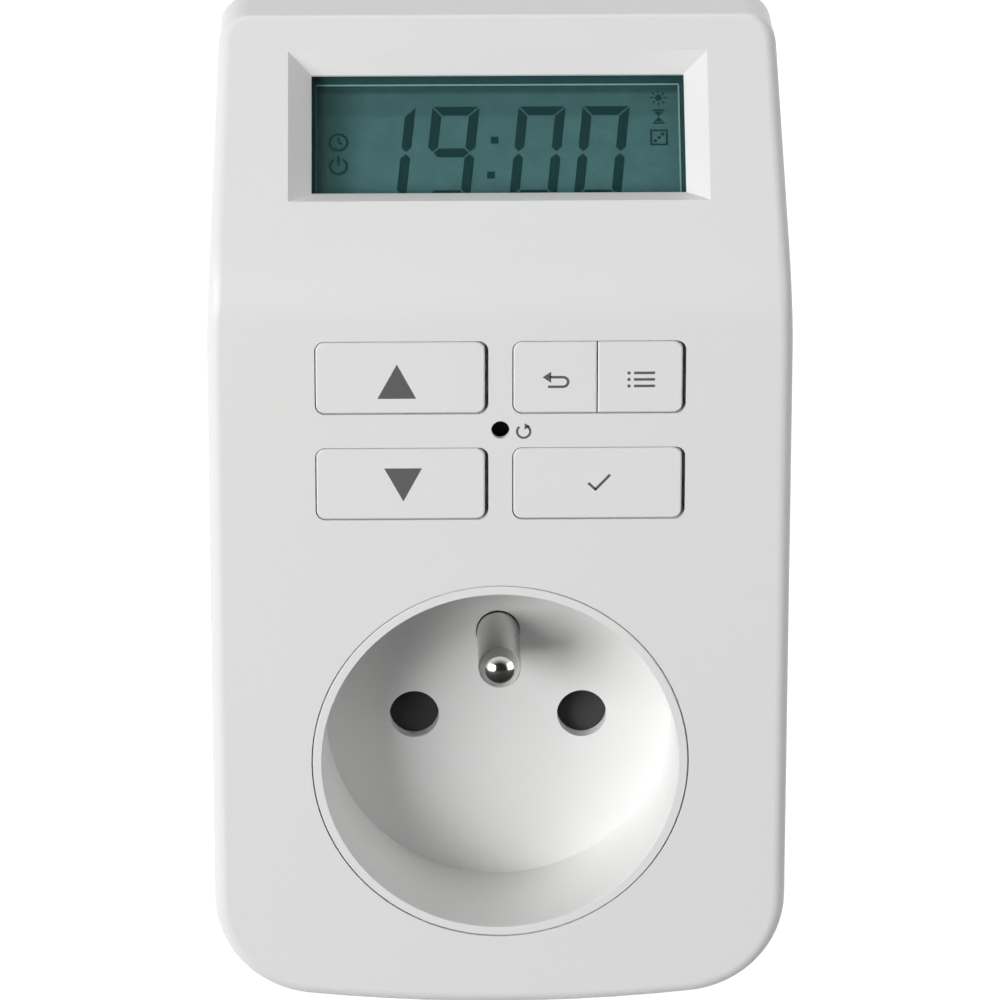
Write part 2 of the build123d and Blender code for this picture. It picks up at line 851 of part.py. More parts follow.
def lcd_holder():
    """The frame round the glass, with a ledge behind it that the elastomer strip passes."""
    outer = display_slab(lcd_sketch(lcd_margin + lcd_gap + holder_wall), window_back, holder_back)
    outer -= display_slab(lcd_sketch(lcd_margin + lcd_gap), 0, lcd_back)
    zebra_low, zebra_high = zebra_range()
    half = opening_width / 2 - holder_side_ledge
    through = (0, holder_back + 1)
    outer -= display_box(half, (zebra_low - lcd_gap, zebra_high + lcd_gap), through)
    top = bezel_middle + opening_height / 2 - holder_top_ledge
    return outer - display_box(half, (zebra_high + holder_bar, top), through)


def zebra_strip():
    """The elastomer connector between the glass and the display board."""
    half = opening_width / 2 - holder_side_ledge - zebra_side_gap
    return display_box(half, zebra_range(), (lcd_back, holder_back))


def display_board():
    board = display_box(
        display_board_width / 2,
        (display_board_low, display_board_high),
        (holder_back, display_back),
    )
    for x, s in display_posts:
        board -= display_rod(x, s, display_screw_radius + hole_clearance, 0, body_depth)
    return board


def controller_chip():
    """The resin drop over the controller, on the back of the display board."""
    drop = display_rod(drop_x, drop_s, drop_radius, display_back, display_back + drop_height)
    crown = drop.faces().sort_by(Axis((0, 0, 0), display_plane().z_dir))[0]
    return chamfer(crown.edges(), drop_chamfer)


def crystal():
    """The clock crystal's can, lying on the display board."""
    place = display_plane(display_back + crystal_radius) * Pos(crystal_x, crystal_s, 0)
    return place * Rot(0, 90, 0) * Cylinder(crystal_radius, crystal_length)


def board_ribbon():
    """The flat cable that lies on the backs of both boards and bends between them."""
    lean = radians(display_tilt)
    # the line where the backs of the two boards would meet
    s_meet = (key_board_back - display_back * cos(lean)) / sin(lean)
    z_meet = bend_z + s_meet * cos(lean) - display_back * sin(lean)
    low = z_meet - ribbon_low_run
    high_depth = key_board_back + ribbon_high_run * sin(lean)
    high_z = z_meet + ribbon_high_run * cos(lean)
    behind = key_board_back + ribbon_thickness
    outline = make_face(
        Polyline(
            (key_board_back, low),
            (key_board_back, z_meet),
            (high_depth, high_z),
            (high_depth + ribbon_thickness * cos(lean), high_z - ribbon_thickness * sin(lean)),
            (behind, z_meet - ribbon_thickness * tan(lean / 2)),
            (behind, low),
            close=True,
        )
    )
    return side_slab(outline, (-ribbon_width / 2, ribbon_width / 2))


# ---------------------------------------------------------------- mains metal

def tulip(side):
    """A two-leaf clip round one socket pin; side is -1 for the left and 1 for the right."""
    inner = side * web_inner
    outer = inner + side * strip
    web = block((inner, outer), (clip_front, clip_back), (-clip_half_height, clip_half_height))
    leaf = make_face(
        Polyline(
            (clip_front, clip_half_height + clip_lip),
            (clip_front + clip_lead_in, pin_radius),
            (clip_back, pin_radius),
            (clip_back, clip_half_height),
            (clip_front + clip_lead_in, clip_half_height),
            (clip_front + strip, clip_half_height + 2 * clip_lip),
            close=True,
        )
    )
    upper = side_slab(leaf, (inner, side * leaf_outer))
    return web + upper + mirror(upper, about=Plane.XY)


def board_tab(side):
    """The tab that climbs from a clip's web and ends in a foot through the power board."""
    x_range = (side * web_inner, side * (web_inner + strip))
    back = power_depth - tab_gap
    front = back - tab_width
    rise = block(x_range, (front, back), (0, foot_top))
    return rise + block(x_range, (front, power_back + foot_depth), (foot_top - foot_height, foot_top))


def live_contact():
    """The switched live clip, fed by the relay through the power board."""
    return tulip(-1) + board_tab(-1)


def eyelet(side):
    """The plate clamped round a plug pin's rivet."""
    x_range = (side * web_inner, side * (contact_x + eyelet_half))
    plate = block(x_range, (eyelet_back - strip, eyelet_back), (-eyelet_half, eyelet_half))
    return plate - rod(side * contact_x, 0, pin_rivet_radius + pin_clearance, 0, plug_end)


def neutral_contact():
    """The neutral clip, which runs on to the plug's neutral pin."""
    tail = block(
        (web_inner, web_inner + strip),
        (clip_back - 1, eyelet_back),
        (-tail_half_height, tail_half_height),
    )
    return tulip(1) + board_tab(1) + tail + eyelet(1)


def live_busbar():
    """The strip from the plug's live pin to the power board."""
    front = slot_front + bus_setback
    run = block(bus_x_range, (front, eyelet_back), (bus_z, bus_z + strip))
    rise = block(bus_x_range, (front, front + strip), (bus_z, foot_top))
    foot = block(bus_foot_range, (front, power_back + foot_depth), (foot_top - strip, foot_top))
    link_range = (-contact_x - eyelet_half, bus_x_range[1])
    link = block(link_range, (eyelet_back - strip, eyelet_back), (0, bus_z + strip))
    link -= rod(-contact_x, 0, pin_rivet_radius + pin_clearance, 0, plug_end)
    return run + rise + foot + link + eyelet(-1)


def contact_carrier():
    """The moulded block that holds the clips between the shutter chamber and the plug."""
    carrier = rod(0, 0, insert_radius, chamber_back, carrier_back)
    for side in (-1, 1):
        carrier -= block(
            (side * web_inner, side * (leaf_outer + carrier_setback)),
            (0, body_depth),
            (-pocket_half_height, pocket_half_height),
        )
    slots = {-1: -bus_x_range[0], 1: web_inner + strip}
    for side, reach in slots.items():
        carrier -= block(
            (side * (web_inner - slot_side_gap), side * (reach + slot_side_gap)),
            (slot_front, body_depth),
            (pocket_half_height - 1, insert_radius + 1),
        )
    carrier -= rod(0, earth_z, earth_shank_radius + hole_clearance, 0, body_depth)
    return carrier


def earth_strap():
    """The U-shaped earth strap with the two side clips, which bulge out of the plug's recesses."""
    leg_top = strap_leg_z + strap_thickness
    clip_start = body_depth + recess_end
    clip_end = plug_end - recess_end - clip_end_gap
    middle = (clip_start + clip_end) / 2
    outer = ThreePointArc((clip_start, leg_top), (middle, leg_top + clip_rise), (clip_end, leg_top))
    inner = ThreePointArc(
        (clip_end, strap_leg_z), (middle, strap_leg_z + clip_rise), (clip_start, strap_leg_z)
    )
    ends = [
        Line((clip_end, leg_top), (clip_end, strap_leg_z)),
        Line((clip_start, strap_leg_z), (clip_start, leg_top)),
    ]
    clip = make_face([*outer.edges(), *inner.edges(), *[e for l in ends for e in l.edges()]])
    half = strap_width / 2
    upper = side_slab(clip, (-half, half))
    upper += block((-half, half), (strap_depth, clip_start), (strap_leg_z, leg_top))
    strap = upper + mirror(upper, about=Plane.XY)
    strap += block((-half, half), (strap_depth, strap_back), (-leg_top, leg_top))
    return strap - rod(0, earth_z, earth_shank_radius + pin_clearance, 0, plug_end)


def earth_tube():
    """The slit sleeve that takes the wall socket's earth pin."""
    tube = rod(0, earth_z, tube_outer_radius, strap_back, plug_end - plug_earth_land)
    tube -= rod(0, earth_z, tube_inner_radius, 0, plug_end)
    reach = 2 * tube_outer_radius
    cross = Rectangle(2 * reach, tube_slit) + Rectangle(tube_slit, 2 * reach)
    return tube - slab(Pos(0, earth_z) * cross, strap_back + tube_ring, plug_end)


def plug_pin(side):
    """One pin of the plug, with its shoulder and its rivet behind the end wall."""
    x = side * contact_x
    tip = plug_end + pin_length
    pin = rod(x, 0, pin_radius, end_wall_front, tip)
    pin = fillet(pin.faces().sort_by(Axis.Y)[-1].edges(), pin_tip_radius)
    pin += rod(x, 0, pin_root_radius, end_wall_front, plug_end)
    pin += rod(x, 0, pin_radius + pin_shoulder_margin, eyelet_back, end_wall_front)
    head_back = eyelet_back - strip
    pin += rod(x, 0, pin_rivet_radius, head_back - pin_rivet_head, eyelet_back)
    return pin + rod(x, 0, pin_rivet_head_radius, head_back - pin_rivet_head, head_back)


def plug_body():
    body = rod(0, 0, plug_radius, carrier_back, plug_end)
    body = chamfer(body.faces().sort_by(Axis.Y)[-1].edges(), plug_edge_chamfer)
    body += rod(0, 0, plug_flange_radius, carrier_back, rear_wall_depth)
    core = rod(0, 0, plug_inner_radius, carrier_back, end_wall_front)
    core &= block(
        (-plug_inner_half_x, plug_inner_half_x),
        (0, plug_end),
        (-plug_inner_half_z, plug_inner_half_z),
    )
    throat = rod(0, 0, plug_inner_radius, 0, body_depth + throat_reach)
    body -= core + throat
    half = recess_width / 2
    for side in (-1, 1):
        body -= block(
            (side * (plug_radius - groove_depth), side * 2 * plug_radius),
            (body_depth, 2 * plug_end),
            (-groove_width / 2, groove_width / 2),
        )
        body -= block(
            (-half, half),
            (body_depth + recess_end - 1.0, plug_end - recess_end),
            (side * recess_floor, side * 2 * plug_radius),
        )
        body -= block(
            (-half, half),
            (0, body_depth + recess_end),
            (side * (plug_inner_half_z - 1), side * (recess_floor + clip_slot_outer)),
        )
        body -= rod(side * contact_x, 0, pin_root_radius + pin_clearance, 0, 2 * plug_end)
    sleeve_end = plug_end - plug_earth_land
    body -= rod(0, earth_z, tube_outer_radius + hole_clearance, 0, sleeve_end)
    return body - rod(0, earth_z, pin_radius + plug_earth_margin, 0, 2 * plug_end)


# ---------------------------------------------------------------- power board

def power_board():
    centre = (power_board_bottom + power_board_top) / 2
    board = slab(
        Pos(0, centre) * Rectangle(power_board_width, power_board_top - power_board_bottom),
        power_depth,
        power_back,
    )
    for x, z in power_posts:
        board -= rod(x, z, small_screw_radius + hole_clearance, 0, body_depth)
    gap = hole_clearance
    board -= block(
        (bus_foot_range[0] - gap, bus_foot_range[1] + gap),
        (0, body_depth),
        (foot_top - strip - gap, foot_top + gap),
    )
    for side in (-1, 1):
        board -= block(
            (side * (web_inner - gap), side * (web_inner + strip + gap)),
            (0, body_depth),
            (foot_top - foot_height - gap, foot_top + gap),
        )
    return board - header_holes()


def header_holes():
    """The holes of the header's pins, through both boards."""
    holes = Part()
    size = header_pin + 2 * hole_clearance
    for z in header_places:
        holes += slab(Pos(header_x, z) * Rectangle(size, size), 0, body_depth)
    return holes


def board_header():
    """The plastic strip seated on the key board, with pins that reach through both boards."""
    length = header_pins * header_pitch
    header = slab(
        Pos(header_x, header_z) * Rectangle(header_block, length),
        key_board_back,
        key_board_back + header_block,
    )
    pin = Rectangle(header_pin, header_pin)
    for z in header_places:
        header += slab(Pos(header_x, z) * pin, key_board_depth - foot_depth, power_back + foot_depth)
    return header


def on_power_board(x_range, heights, z_range):
    """A block on the power board; heights are measured forward from the board."""
    return block(x_range, (power_depth - heights[0], power_depth - heights[1]), z_range)


def power_rod(x, z, radius, low, high):
    """A round bar standing on the power board."""
    return rod(x, z, radius, power_depth - high, power_depth - low)


def power_lead(x, z, side, top):
    """A square lead standing on the power board."""
    half = side / 2
    return on_power_board((x - half, x + half), (0, top), (z - half, z + half))


def mains_capacitor():
    """The suppression capacitor's moulded box."""
    box = on_power_board(film_x, (0, film_height), film_z)
    return fillet(box.edges().filter_by(Axis.Y), film_corner_radius)


def smoothing_capacitor():
    """The electrolytic capacitor, with the crimp round its lower end."""
    can = power_rod(can_x, can_z, can_radius, 0, can_height)
    can = chamfer(can.faces().sort_by(Axis.Y)[0].edges(), can_chamfer)
    crimp = power_rod(can_x, can_z, 2 * can_radius, *can_crimp)
    return can - (crimp - power_rod(can_x, can_z, can_radius - can_crimp_depth, *can_crimp))


def varistor():
    """The varistor's disc, standing on edge on its two leads."""
    disc = Pos(disc_x, power_depth - disc_height, disc_z) * Cylinder(disc_radius, disc_thickness)
    disc = chamfer(disc.edges().filter_by(GeomType.CIRCLE), disc_chamfer)
    low = disc_height - disc_radius + lead_buried
    for side in (-1, 1):
        disc += power_lead(disc_x + side * disc_lead_spacing / 2, disc_z, lead, low + disc_chamfer)
    return disc


def axial(x_range, z, radius, rise):
    """A lying component with two bent leads."""
    low, high = x_range
    length = high - low
    turned = Pos((low + high) / 2, power_depth - rise, z) * Rot(0, 90, 0)
    body = turned * Cylinder(radius, length - 2 * axial_lead_run)
    half = lead / 2
    body += on_power_board(x_range, (rise - half, rise + half), (z - half, z + half))
    for x in (low + half, high - half):
        body += power_lead(x, z, lead, rise)
    return body


def fuse_resistor():
    return axial(fuse_x, fuse_z, fuse_radius, fuse_height)


def diodes():
    """The four diodes of the bridge."""
    return [axial(diode_x, z, diode_radius, diode_height) for z in diode_z]


def transistor():
    """The relay's driver: a half-round case on three leads."""
    case = power_rod(driver_x, driver_z, driver_radius, driver_low, driver_high)
    reach = 2 * driver_radius
    case -= on_power_board(
        (driver_x - reach, driver_x + reach),
        (0, 2 * driver_high),
        (driver_z - reach, driver_z - driver_flat),
    )
    for x in (driver_x - driver_pitch, driver_x, driver_x + driver_pitch):
        case += power_lead(x, driver_z, driver_lead, driver_low + lead_buried)
    return case


def backup_battery():
    """The rechargeable button cell that keeps the time, with its cap."""
    cell = power_rod(cell_x, cell_z, cell_radius, 0, cell_height)
    cell = chamfer(cell.faces().sort_by(Axis.Y)[0].edges(), cell_chamfer)
    return cell + power_rod(cell_x, cell_z, cap_radius, 0, cell_height + cap_height)


# ---------------------------------------------------------------- relay

def relay_box(inset, low, high):
    half_x = relay_length / 2 - inset
    half_z = relay_width / 2 - inset
    return on_power_board(
        (relay_x - half_x, relay_x + half_x), (low, high), (relay_z - half_z, relay_z + half_z)
    )


def relay_case():
    case = relay_box(0, 0, relay_height)
    case = chamfer(case.faces().sort_by(Axis.Y)[0].edges(), relay_wall / 2)
    return case - relay_box(relay_wall, -1, relay_height - relay_wall)


def relay_base():
    return relay_box(relay_wall + relay_gap, 0, relay_base_height)


def coil_range():
    """The coil's two ends along x."""
    left = relay_x - relay_length / 2 + relay_wall + coil_setback
    return left, left + coil_length


def relay_coil():
    left, right = coil_range()
    depth = power_depth - coil_height
    turn = Rot(0, 90, 0)
    middle = (left + right) / 2
    coil = Pos(middle, depth, relay_z) * turn * Cylinder(coil_radius, coil_length)
    for x in (left + coil_flange / 2, right - coil_flange / 2):
        coil += Pos(x, depth, relay_z) * turn * Cylinder(coil_flange_radius, coil_flange)
    coil -= Pos(middle, depth, relay_z) * turn * Cylinder(core_radius + relay_gap, 2 * coil_length)
    z_range = (relay_z - bobbin_foot_half_width, relay_z + bobbin_foot_half_width)
    foot = on_power_board((left, right), (relay_base_height, coil_height), z_range)
    hollow = Pos(middle, depth, relay_z) * turn * Cylinder(coil_radius, coil_length)
    return coil + (foot - hollow)


def yoke_front():
    """Height of the yoke's upper leg above the board."""
    return coil_height + coil_flange_radius + yoke_gap


def relay_yoke():
    """The iron core, the end plate behind it and the leg over the coil."""
    left, right = coil_range()
    depth = power_depth - coil_height
    plate_right = left - relay_gap
    core_end = right + pole_overhang
    core = Pos((plate_right + core_end) / 2, depth, relay_z) * Rot(0, 90, 0)
    yoke = core * Cylinder(core_radius, core_end - plate_right)
    z_range = (relay_z - yoke_half_width, relay_z + yoke_half_width)
    top = yoke_front() + yoke_thickness
    plate_left = plate_right - yoke_thickness
    yoke += on_power_board((plate_left, plate_right), (relay_base_height, top), z_range)
    leg_end = right + armature_gap - hinge_gap
    return yoke + on_power_board((plate_left, leg_end), (yoke_front(), top), z_range)


def armature_face():
    """The x of the armature's face that meets the core."""
    return coil_range()[1] + armature_gap


def relay_button(x_low, x_high):
    """A contact button between two values of x."""
    place = Pos((x_low + x_high) / 2, power_depth - button_height, relay_z) * Rot(0, 90, 0)
    return place * Cylinder(contact_button_radius, x_high - x_low)


def fixed_blade_face():
    """The x of the outer face of the fixed contact's blade."""
    return armature_face() + armature_thickness + fixed_blade_gap + fixed_blade


def relay_armature():
    """The armature that rocks on the end of the yoke's leg, and the blade that it carries."""
    face = armature_face()
    back = face + armature_thickness
    low = relay_base_height + armature_rise
    top = yoke_front() + yoke_thickness
    plate_z = (relay_z - armature_half_width, relay_z + armature_half_width)
    plate = on_power_board((face, back), (low, top), plate_z)
    button_x = fixed_blade_face() + contact_button + contact_open
    blade_x = button_x + contact_button
    z_range = (relay_z - blade_half_width, relay_z + blade_half_width)
    arm_top = top - arm_drop
    arm = on_power_board((back, blade_x + spring_blade), (arm_top - spring_blade, arm_top), z_range)
    blade = on_power_board((blade_x, blade_x + spring_blade), (low, arm_top), z_range)
    return plate + arm + blade + relay_button(button_x, blade_x)


def relay_contact():
    """The fixed contact: a blade on the base, between the armature and the moving blade."""
    outer = fixed_blade_face()
    z_range = (relay_z - fixed_blade_half_width, relay_z + fixed_blade_half_width)
    x_range = (outer - fixed_blade, outer)
    blade = on_power_board(x_range, (relay_base_height, fixed_blade_top), z_range)
    return blade + relay_button(outer, outer + contact_button)


# ---------------------------------------------------------------- screws

def screw(x, z, radius, head_radius, head, tip, seat):
    """A screw along Y, from its point at the depth `tip` to its head's underside at `seat`."""
    top = seat + head if seat > tip else seat - head
    shank = rod(x, z, radius - pin_clearance, min(tip, seat), max(tip, seat))
    return shank + rod(x, z, head_radius, min(seat, top), max(seat, top))


def housing_screw_group():
    tip = boss_depth - screw_engagement + screw_tip_gap
    return [
        screw(x, z, screw_radius, screw_head_radius, screw_head, tip, counterbore_floor)
        for x, z in housing_screws
    ]


def board_screws(posts, tip, seat):
    return [
        screw(x, z, small_screw_radius, small_head_radius, small_head, tip, seat) for x, z in posts
    ]


def key_board_screws():
    tip = key_board_depth - small_screw_reach + small_tip_gap
    return board_screws(key_posts, tip, key_board_back)


def power_board_screws():
    tip = power_back + small_screw_reach - small_tip_gap
    return board_screws(power_posts, tip, power_depth)


def display_screws():
    tip = holder_back - display_screw_reach + display_tip_gap
    radius = display_screw_radius - pin_clearance
    return [
        display_rod(x, s, radius, tip, display_back)
        + display_rod(x, s, display_head_radius, display_back, display_back + display_head)
        for x, s in display_posts
    ]


# ---------------------------------------------------------------- output

def save(name, shape):
    """Move a piece, or a group of like pieces, to the part's origin and write its file."""
    pieces = shape if isinstance(shape, list) else [shape]
    to_origin = Pos(0, -plug_end, 0)
    solids = [to_origin * solid for piece in pieces for solid in piece.solids()]
    whole = solids[0] if len(solids) == 1 else Compound(children=solids)
    export_step(whole, f"parts/{name}.step")


def main():
    os.makedirs("parts", exist_ok=True)
    save("front_housing", front_housing())
    save("rear_housing", rear_housing())
    save("socket_insert", socket_insert())
    save("shutter", shutter())
    save("shutter_spring", shutter_spring())
    save("earth_pin", earth_pin())
    for name in key_places:
        save(f"key_{name}", key(name))
    for name in (*key_places, "reset"):
        save(f"switch_{name}", switch_body(name))
        save(f"plunger_{name}", plunger(name))
    save("key_board", key_board())
    save("lcd_window", lcd_window())
    save("lcd_glass", lcd_glass())
    save("lcd_holder", lcd_holder())
    save("zebra_strip", zebra_strip())
    save("display_board", display_board())
    save("controller_chip", controller_chip())
    save("crystal", crystal())
    save("board_ribbon", board_ribbon())
    save("contact_carrier", contact_carrier())
    save("live_contact", live_contact())
    save("neutral_contact", neutral_contact())
    save("live_busbar", live_busbar())
    save("earth_strap", earth_strap())
    save("earth_tube", earth_tube())
    save("plug_body", plug_body())
    save("plug_pin_left", plug_pin(-1))
    save("plug_pin_right", plug_pin(1))
    save("power_board", power_board())
    save("board_header", board_header())
    save("mains_capacitor", mains_capacitor())
    save("smoothing_capacitor", smoothing_capacitor())
    save("varistor", varistor())
    save("fuse_resistor", fuse_resistor())
    save("diodes", diodes())
    save("transistor", transistor())
    save("backup_battery", backup_battery())
    save("relay_case", relay_case())
    save("relay_base", relay_base())
    save("relay_coil", relay_coil())
    save("relay_yoke", relay_yoke())
    save("relay_armature", relay_armature())
    save("relay_contact", relay_contact())
    save("housing_screws", housing_screw_group())
    save("board_screws", key_board_screws() + power_board_screws())
    save("display_screws", display_screws())


main()
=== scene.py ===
import json
import math

import bmesh
import bpy
from mathutils import Matrix, Vector


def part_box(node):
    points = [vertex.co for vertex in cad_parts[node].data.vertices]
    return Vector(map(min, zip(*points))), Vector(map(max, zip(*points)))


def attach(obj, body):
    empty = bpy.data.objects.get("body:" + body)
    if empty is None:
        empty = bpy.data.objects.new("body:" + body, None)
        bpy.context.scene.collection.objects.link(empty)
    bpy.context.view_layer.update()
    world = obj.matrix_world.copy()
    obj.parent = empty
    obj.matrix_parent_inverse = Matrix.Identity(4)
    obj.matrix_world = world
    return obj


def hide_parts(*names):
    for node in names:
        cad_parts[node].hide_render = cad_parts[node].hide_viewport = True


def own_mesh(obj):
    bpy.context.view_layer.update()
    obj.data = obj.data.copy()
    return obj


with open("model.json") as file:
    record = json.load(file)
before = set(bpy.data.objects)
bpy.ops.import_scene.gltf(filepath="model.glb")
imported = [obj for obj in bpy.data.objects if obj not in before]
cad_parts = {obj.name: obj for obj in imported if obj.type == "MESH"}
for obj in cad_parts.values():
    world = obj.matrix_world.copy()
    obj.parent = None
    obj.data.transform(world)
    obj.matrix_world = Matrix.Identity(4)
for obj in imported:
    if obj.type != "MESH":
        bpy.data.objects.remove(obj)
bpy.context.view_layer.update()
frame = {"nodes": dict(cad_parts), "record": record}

# Metres. +Z is up, the socket and the display face -Y, the plug points along +Y.
MM = 0.001
FACE_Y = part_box("front_housing")[0].y      # the main face
BEND_Z = 56.3 * MM                         # where the main face and the display face would meet
LEAN = math.radians(42.0)                  # the display face leans back by this much
SHARP_ANGLE = math.radians(30)             # edges that turn by more than this stay sharp


# ---------------------------------------------------------------- places

def on_face(x, z, depth):
    """A point of the main face, in millimetres, with its depth behind the face."""
    return Vector((x * MM, FACE_Y + depth * MM, z * MM))


def on_display(x, s, depth):
    """A point of the display face: x, the way up the slope from the bend, and the depth below."""
    y = s * math.sin(LEAN) + depth * math.cos(LEAN)
    z = s * math.cos(LEAN) - depth * math.sin(LEAN)
    return Vector((x * MM, FACE_Y + y * MM, BEND_Z + z * MM))


# ---------------------------------------------------------------- nodes

def add_node(tree, kind, **values):
    """A new node with some inputs set. An underscore stands for the space in an input's name."""
    node = tree.nodes.new(kind)
    for name, value in values.items():
        node.inputs[name.replace("_", " ")].default_value = value
    return node


def ranged(tree, source, **limits):
    """A value carried from one range, 0 to 1 unless it is given, to another."""
    node = add_node(tree, "ShaderNodeMapRange", **limits)
    tree.links.new(source, node.inputs["Value"])
    return node.outputs["Result"]


def combined(tree, operation, first, second):
    """The result of a math node on two sockets."""
    node = tree.nodes.new("ShaderNodeMath")
    node.operation = operation
    tree.links.new(first, node.inputs[0])
    tree.links.new(second, node.inputs[1])
    return node.outputs[0]


def along_axis(tree, place, axis):
    """One coordinate of a place."""
    split = tree.nodes.new("ShaderNodeSeparateXYZ")
    tree.links.new(place, split.inputs["Vector"])
    return split.outputs[axis]


WAVE_FACTOR = 20.0            # the wave texture multiplies its scaled coordinate by this


class Shader:
    """A node material with one Principled shader, and short ways to drive its sockets."""

    def __init__(self, name, color, roughness, metallic=0.0, **sockets):
        self.material = bpy.data.materials.new(name)
        self.material.use_nodes = True
        self.tree = self.material.node_tree
        self.bsdf = self.tree.nodes["Principled BSDF"]
        self.color = (*color, 1.0)
        self.roughness = roughness
        self.bsdf.inputs["Base Color"].default_value = self.color
        self.bsdf.inputs["Roughness"].default_value = roughness
        self.bsdf.inputs["Metallic"].default_value = metallic
        for socket, value in sockets.items():
            self.bsdf.inputs[socket.replace("_", " ")].default_value = value
        self.place = self.node("ShaderNodeTexCoord").outputs["Object"]

    def node(self, kind, **values):
        return add_node(self.tree, kind, **values)

    def link(self, source, target):
        self.tree.links.new(source, target)

    def noise(self, size, detail=3.0, stretch=(1, 1, 1)):
        """Noise whose features are about `size` metres across, before the stretch."""
        mapping = self.node("ShaderNodeMapping", Scale=stretch)
        self.link(self.place, mapping.inputs["Vector"])
        node = self.node("ShaderNodeTexNoise", Scale=1.0 / size, Detail=detail)
        self.link(mapping.outputs["Vector"], node.inputs["Vector"])
        return node.outputs["Fac"]

    def bands(self, size):
        """Parallel bands across X, `size` metres apart."""
        node = self.node("ShaderNodeTexWave", Scale=2 * math.pi / (WAVE_FACTOR * size))
        node.wave_type = "BANDS"
        node.wave_profile = "SIN"
        node.bands_direction = "X"
        self.link(self.place, node.inputs["Vector"])
        return node.outputs["Fac"]

    def ramp(self, axis, start, end, high):
        """0 at `start`, rising to `high` at `end`, along one of the object's own axes."""
        node = self.node("ShaderNodeMapRange", From_Min=start, From_Max=end, To_Max=high)
        node.interpolation_type = "SMOOTHSTEP"
        self.link(along_axis(self.tree, self.place, axis), node.inputs["Value"])
        return node.outputs["Result"]

    def spread(self, value, low, high):
        """A value from 0 to 1 carried to another range."""
        return ranged(self.tree, value, To_Min=low, To_Max=high)

    def tint(self, factor, other):
        """Mixes another colour in, where the factor is 1."""
        mix = self.node("ShaderNodeMix")
        mix.data_type = "RGBA"
        source = self.bsdf.inputs["Base Color"]
        if source.is_linked:
            self.link(source.links[0].from_socket, mix.inputs["A"])
        else:
            mix.inputs["A"].default_value = self.color
        mix.inputs["B"].default_value = (*other, 1.0)
        self.link(factor, mix.inputs["Factor"])
        self.link(mix.outputs["Result"], source)

    def vary(self, size, amount):
        """Lets the colour drift by a share of itself, over patches of this size."""
        darker = [c * (1.0 - amount) for c in self.color[:3]]
        self.tint(self.noise(size, detail=2.0), darker)

    def rough(self, size, amount, stretch=(1, 1, 1)):
        """Lets the roughness drift, as polish and handling leave it."""
        patches = self.noise(size, detail=4.0, stretch=stretch)
        low, high = self.roughness - amount, self.roughness + amount
        self.link(self.spread(patches, low, high), self.bsdf.inputs["Roughness"])

    def bump(self, height, depth, strength=1.0):
        """Adds relief of that depth in metres, over whatever relief there is."""
        node = self.node("ShaderNodeBump", Distance=depth, Strength=strength)
        self.link(height, node.inputs["Height"])
        normal = self.bsdf.inputs["Normal"]
        if normal.is_linked:
            self.link(normal.links[0].from_socket, node.inputs["Normal"])
        self.link(node.outputs["Normal"], normal)


# ---------------------------------------------------------------- materials

def moulded(name, color, roughness, grain, depth, drift):
    """Moulded plastic: a spark-eroded grain, faint flow marks and uneven polish."""
    shader = Shader(name, color, roughness)
    shader.vary(size=18 * MM, amount=drift)
    shader.rough(size=3 * MM, amount=0.05)
    shader.bump(shader.noise(size=grain, detail=5.0), depth)
    shader.bump(shader.noise(size=9 * MM, detail=1.0), depth=0.03 * MM, strength=0.25)
    return shader


def plated(name, color, roughness, stretch):
    """Plated or drawn metal: fine scratches along the way it was drawn, and dull patches."""
    shader = Shader(name, color, roughness, metallic=1.0)
    shader.vary(size=4 * MM, amount=0.12)
    shader.rough(size=1.5 * MM, amount=0.05, stretch=stretch)
    shader.bump(shader.noise(size=0.12 * MM, stretch=stretch), depth=0.004 * MM)
    return shader


def laminate(name, color, copper):
    """A circuit board: the weave under its mask, and tracks that stand out a little."""
    shader = Shader(name, color, roughness=0.42)
    shader.vary(size=6 * MM, amount=0.15)
    track = shader.node("ShaderNodeTexBrick", Scale=1.0 / (4 * MM), Mortar_Size=0.06)
    track.offset = 0.37
    shader.link(shader.place, track.inputs["Vector"])
    shader.tint(shader.spread(track.outputs["Fac"], 0.0, 0.7), copper)
    shader.bump(track.outputs["Fac"], depth=0.03 * MM)
    shader.bump(shader.noise(size=0.4 * MM), depth=0.01 * MM)
    return shader


def crystal_film(name, color):
    """The reflective liquid crystal seen through its polariser: a fine, mottled teal."""
    shader = Shader(name, color, roughness=0.5, Specular_IOR_Level=0.05)
    pale = [min(1.0, 1.35 * c) for c in color]
    dark = [0.75 * c for c in color]
    shader.tint(shader.spread(shader.noise(size=2.2 * MM), -0.4, 1.0), pale)
    shader.tint(shader.spread(shader.noise(size=0.22 * MM, detail=2.0), -0.5, 0.9), dark)
    shader.bump(shader.noise(size=0.3 * MM), depth=0.01 * MM)
    return shader


def window_pane():
    """The clear pane, which adds a little gloss over the liquid crystal."""
    color = (0.03, 0.09, 0.09)
    shader = Shader("window_clear", color, roughness=0.06, Alpha=0.05, Specular_IOR_Level=0.4)
    shader.rough(size=8 * MM, amount=0.03)
    shader.bump(shader.noise(size=14 * MM, detail=1.0), depth=0.02 * MM, strength=0.2)
    shader.material.blend_method = "BLEND"
    return shader


def coil_winding():
    """Enamelled copper wire, wound side by side along the bobbin."""
    shader = Shader("copper_coil", (0.55, 0.22, 0.09), roughness=0.3, metallic=0.8)
    turns = shader.bands(size=0.16 * MM)
    # Painted shade: the wire is darker in the grooves where the turns meet.
    shader.tint(shader.spread(turns, 0.5, 0.0), (0.20, 0.06, 0.02))
    shader.bump(turns, depth=0.05 * MM)
    shader.vary(size=3 * MM, amount=0.15)
    return shader


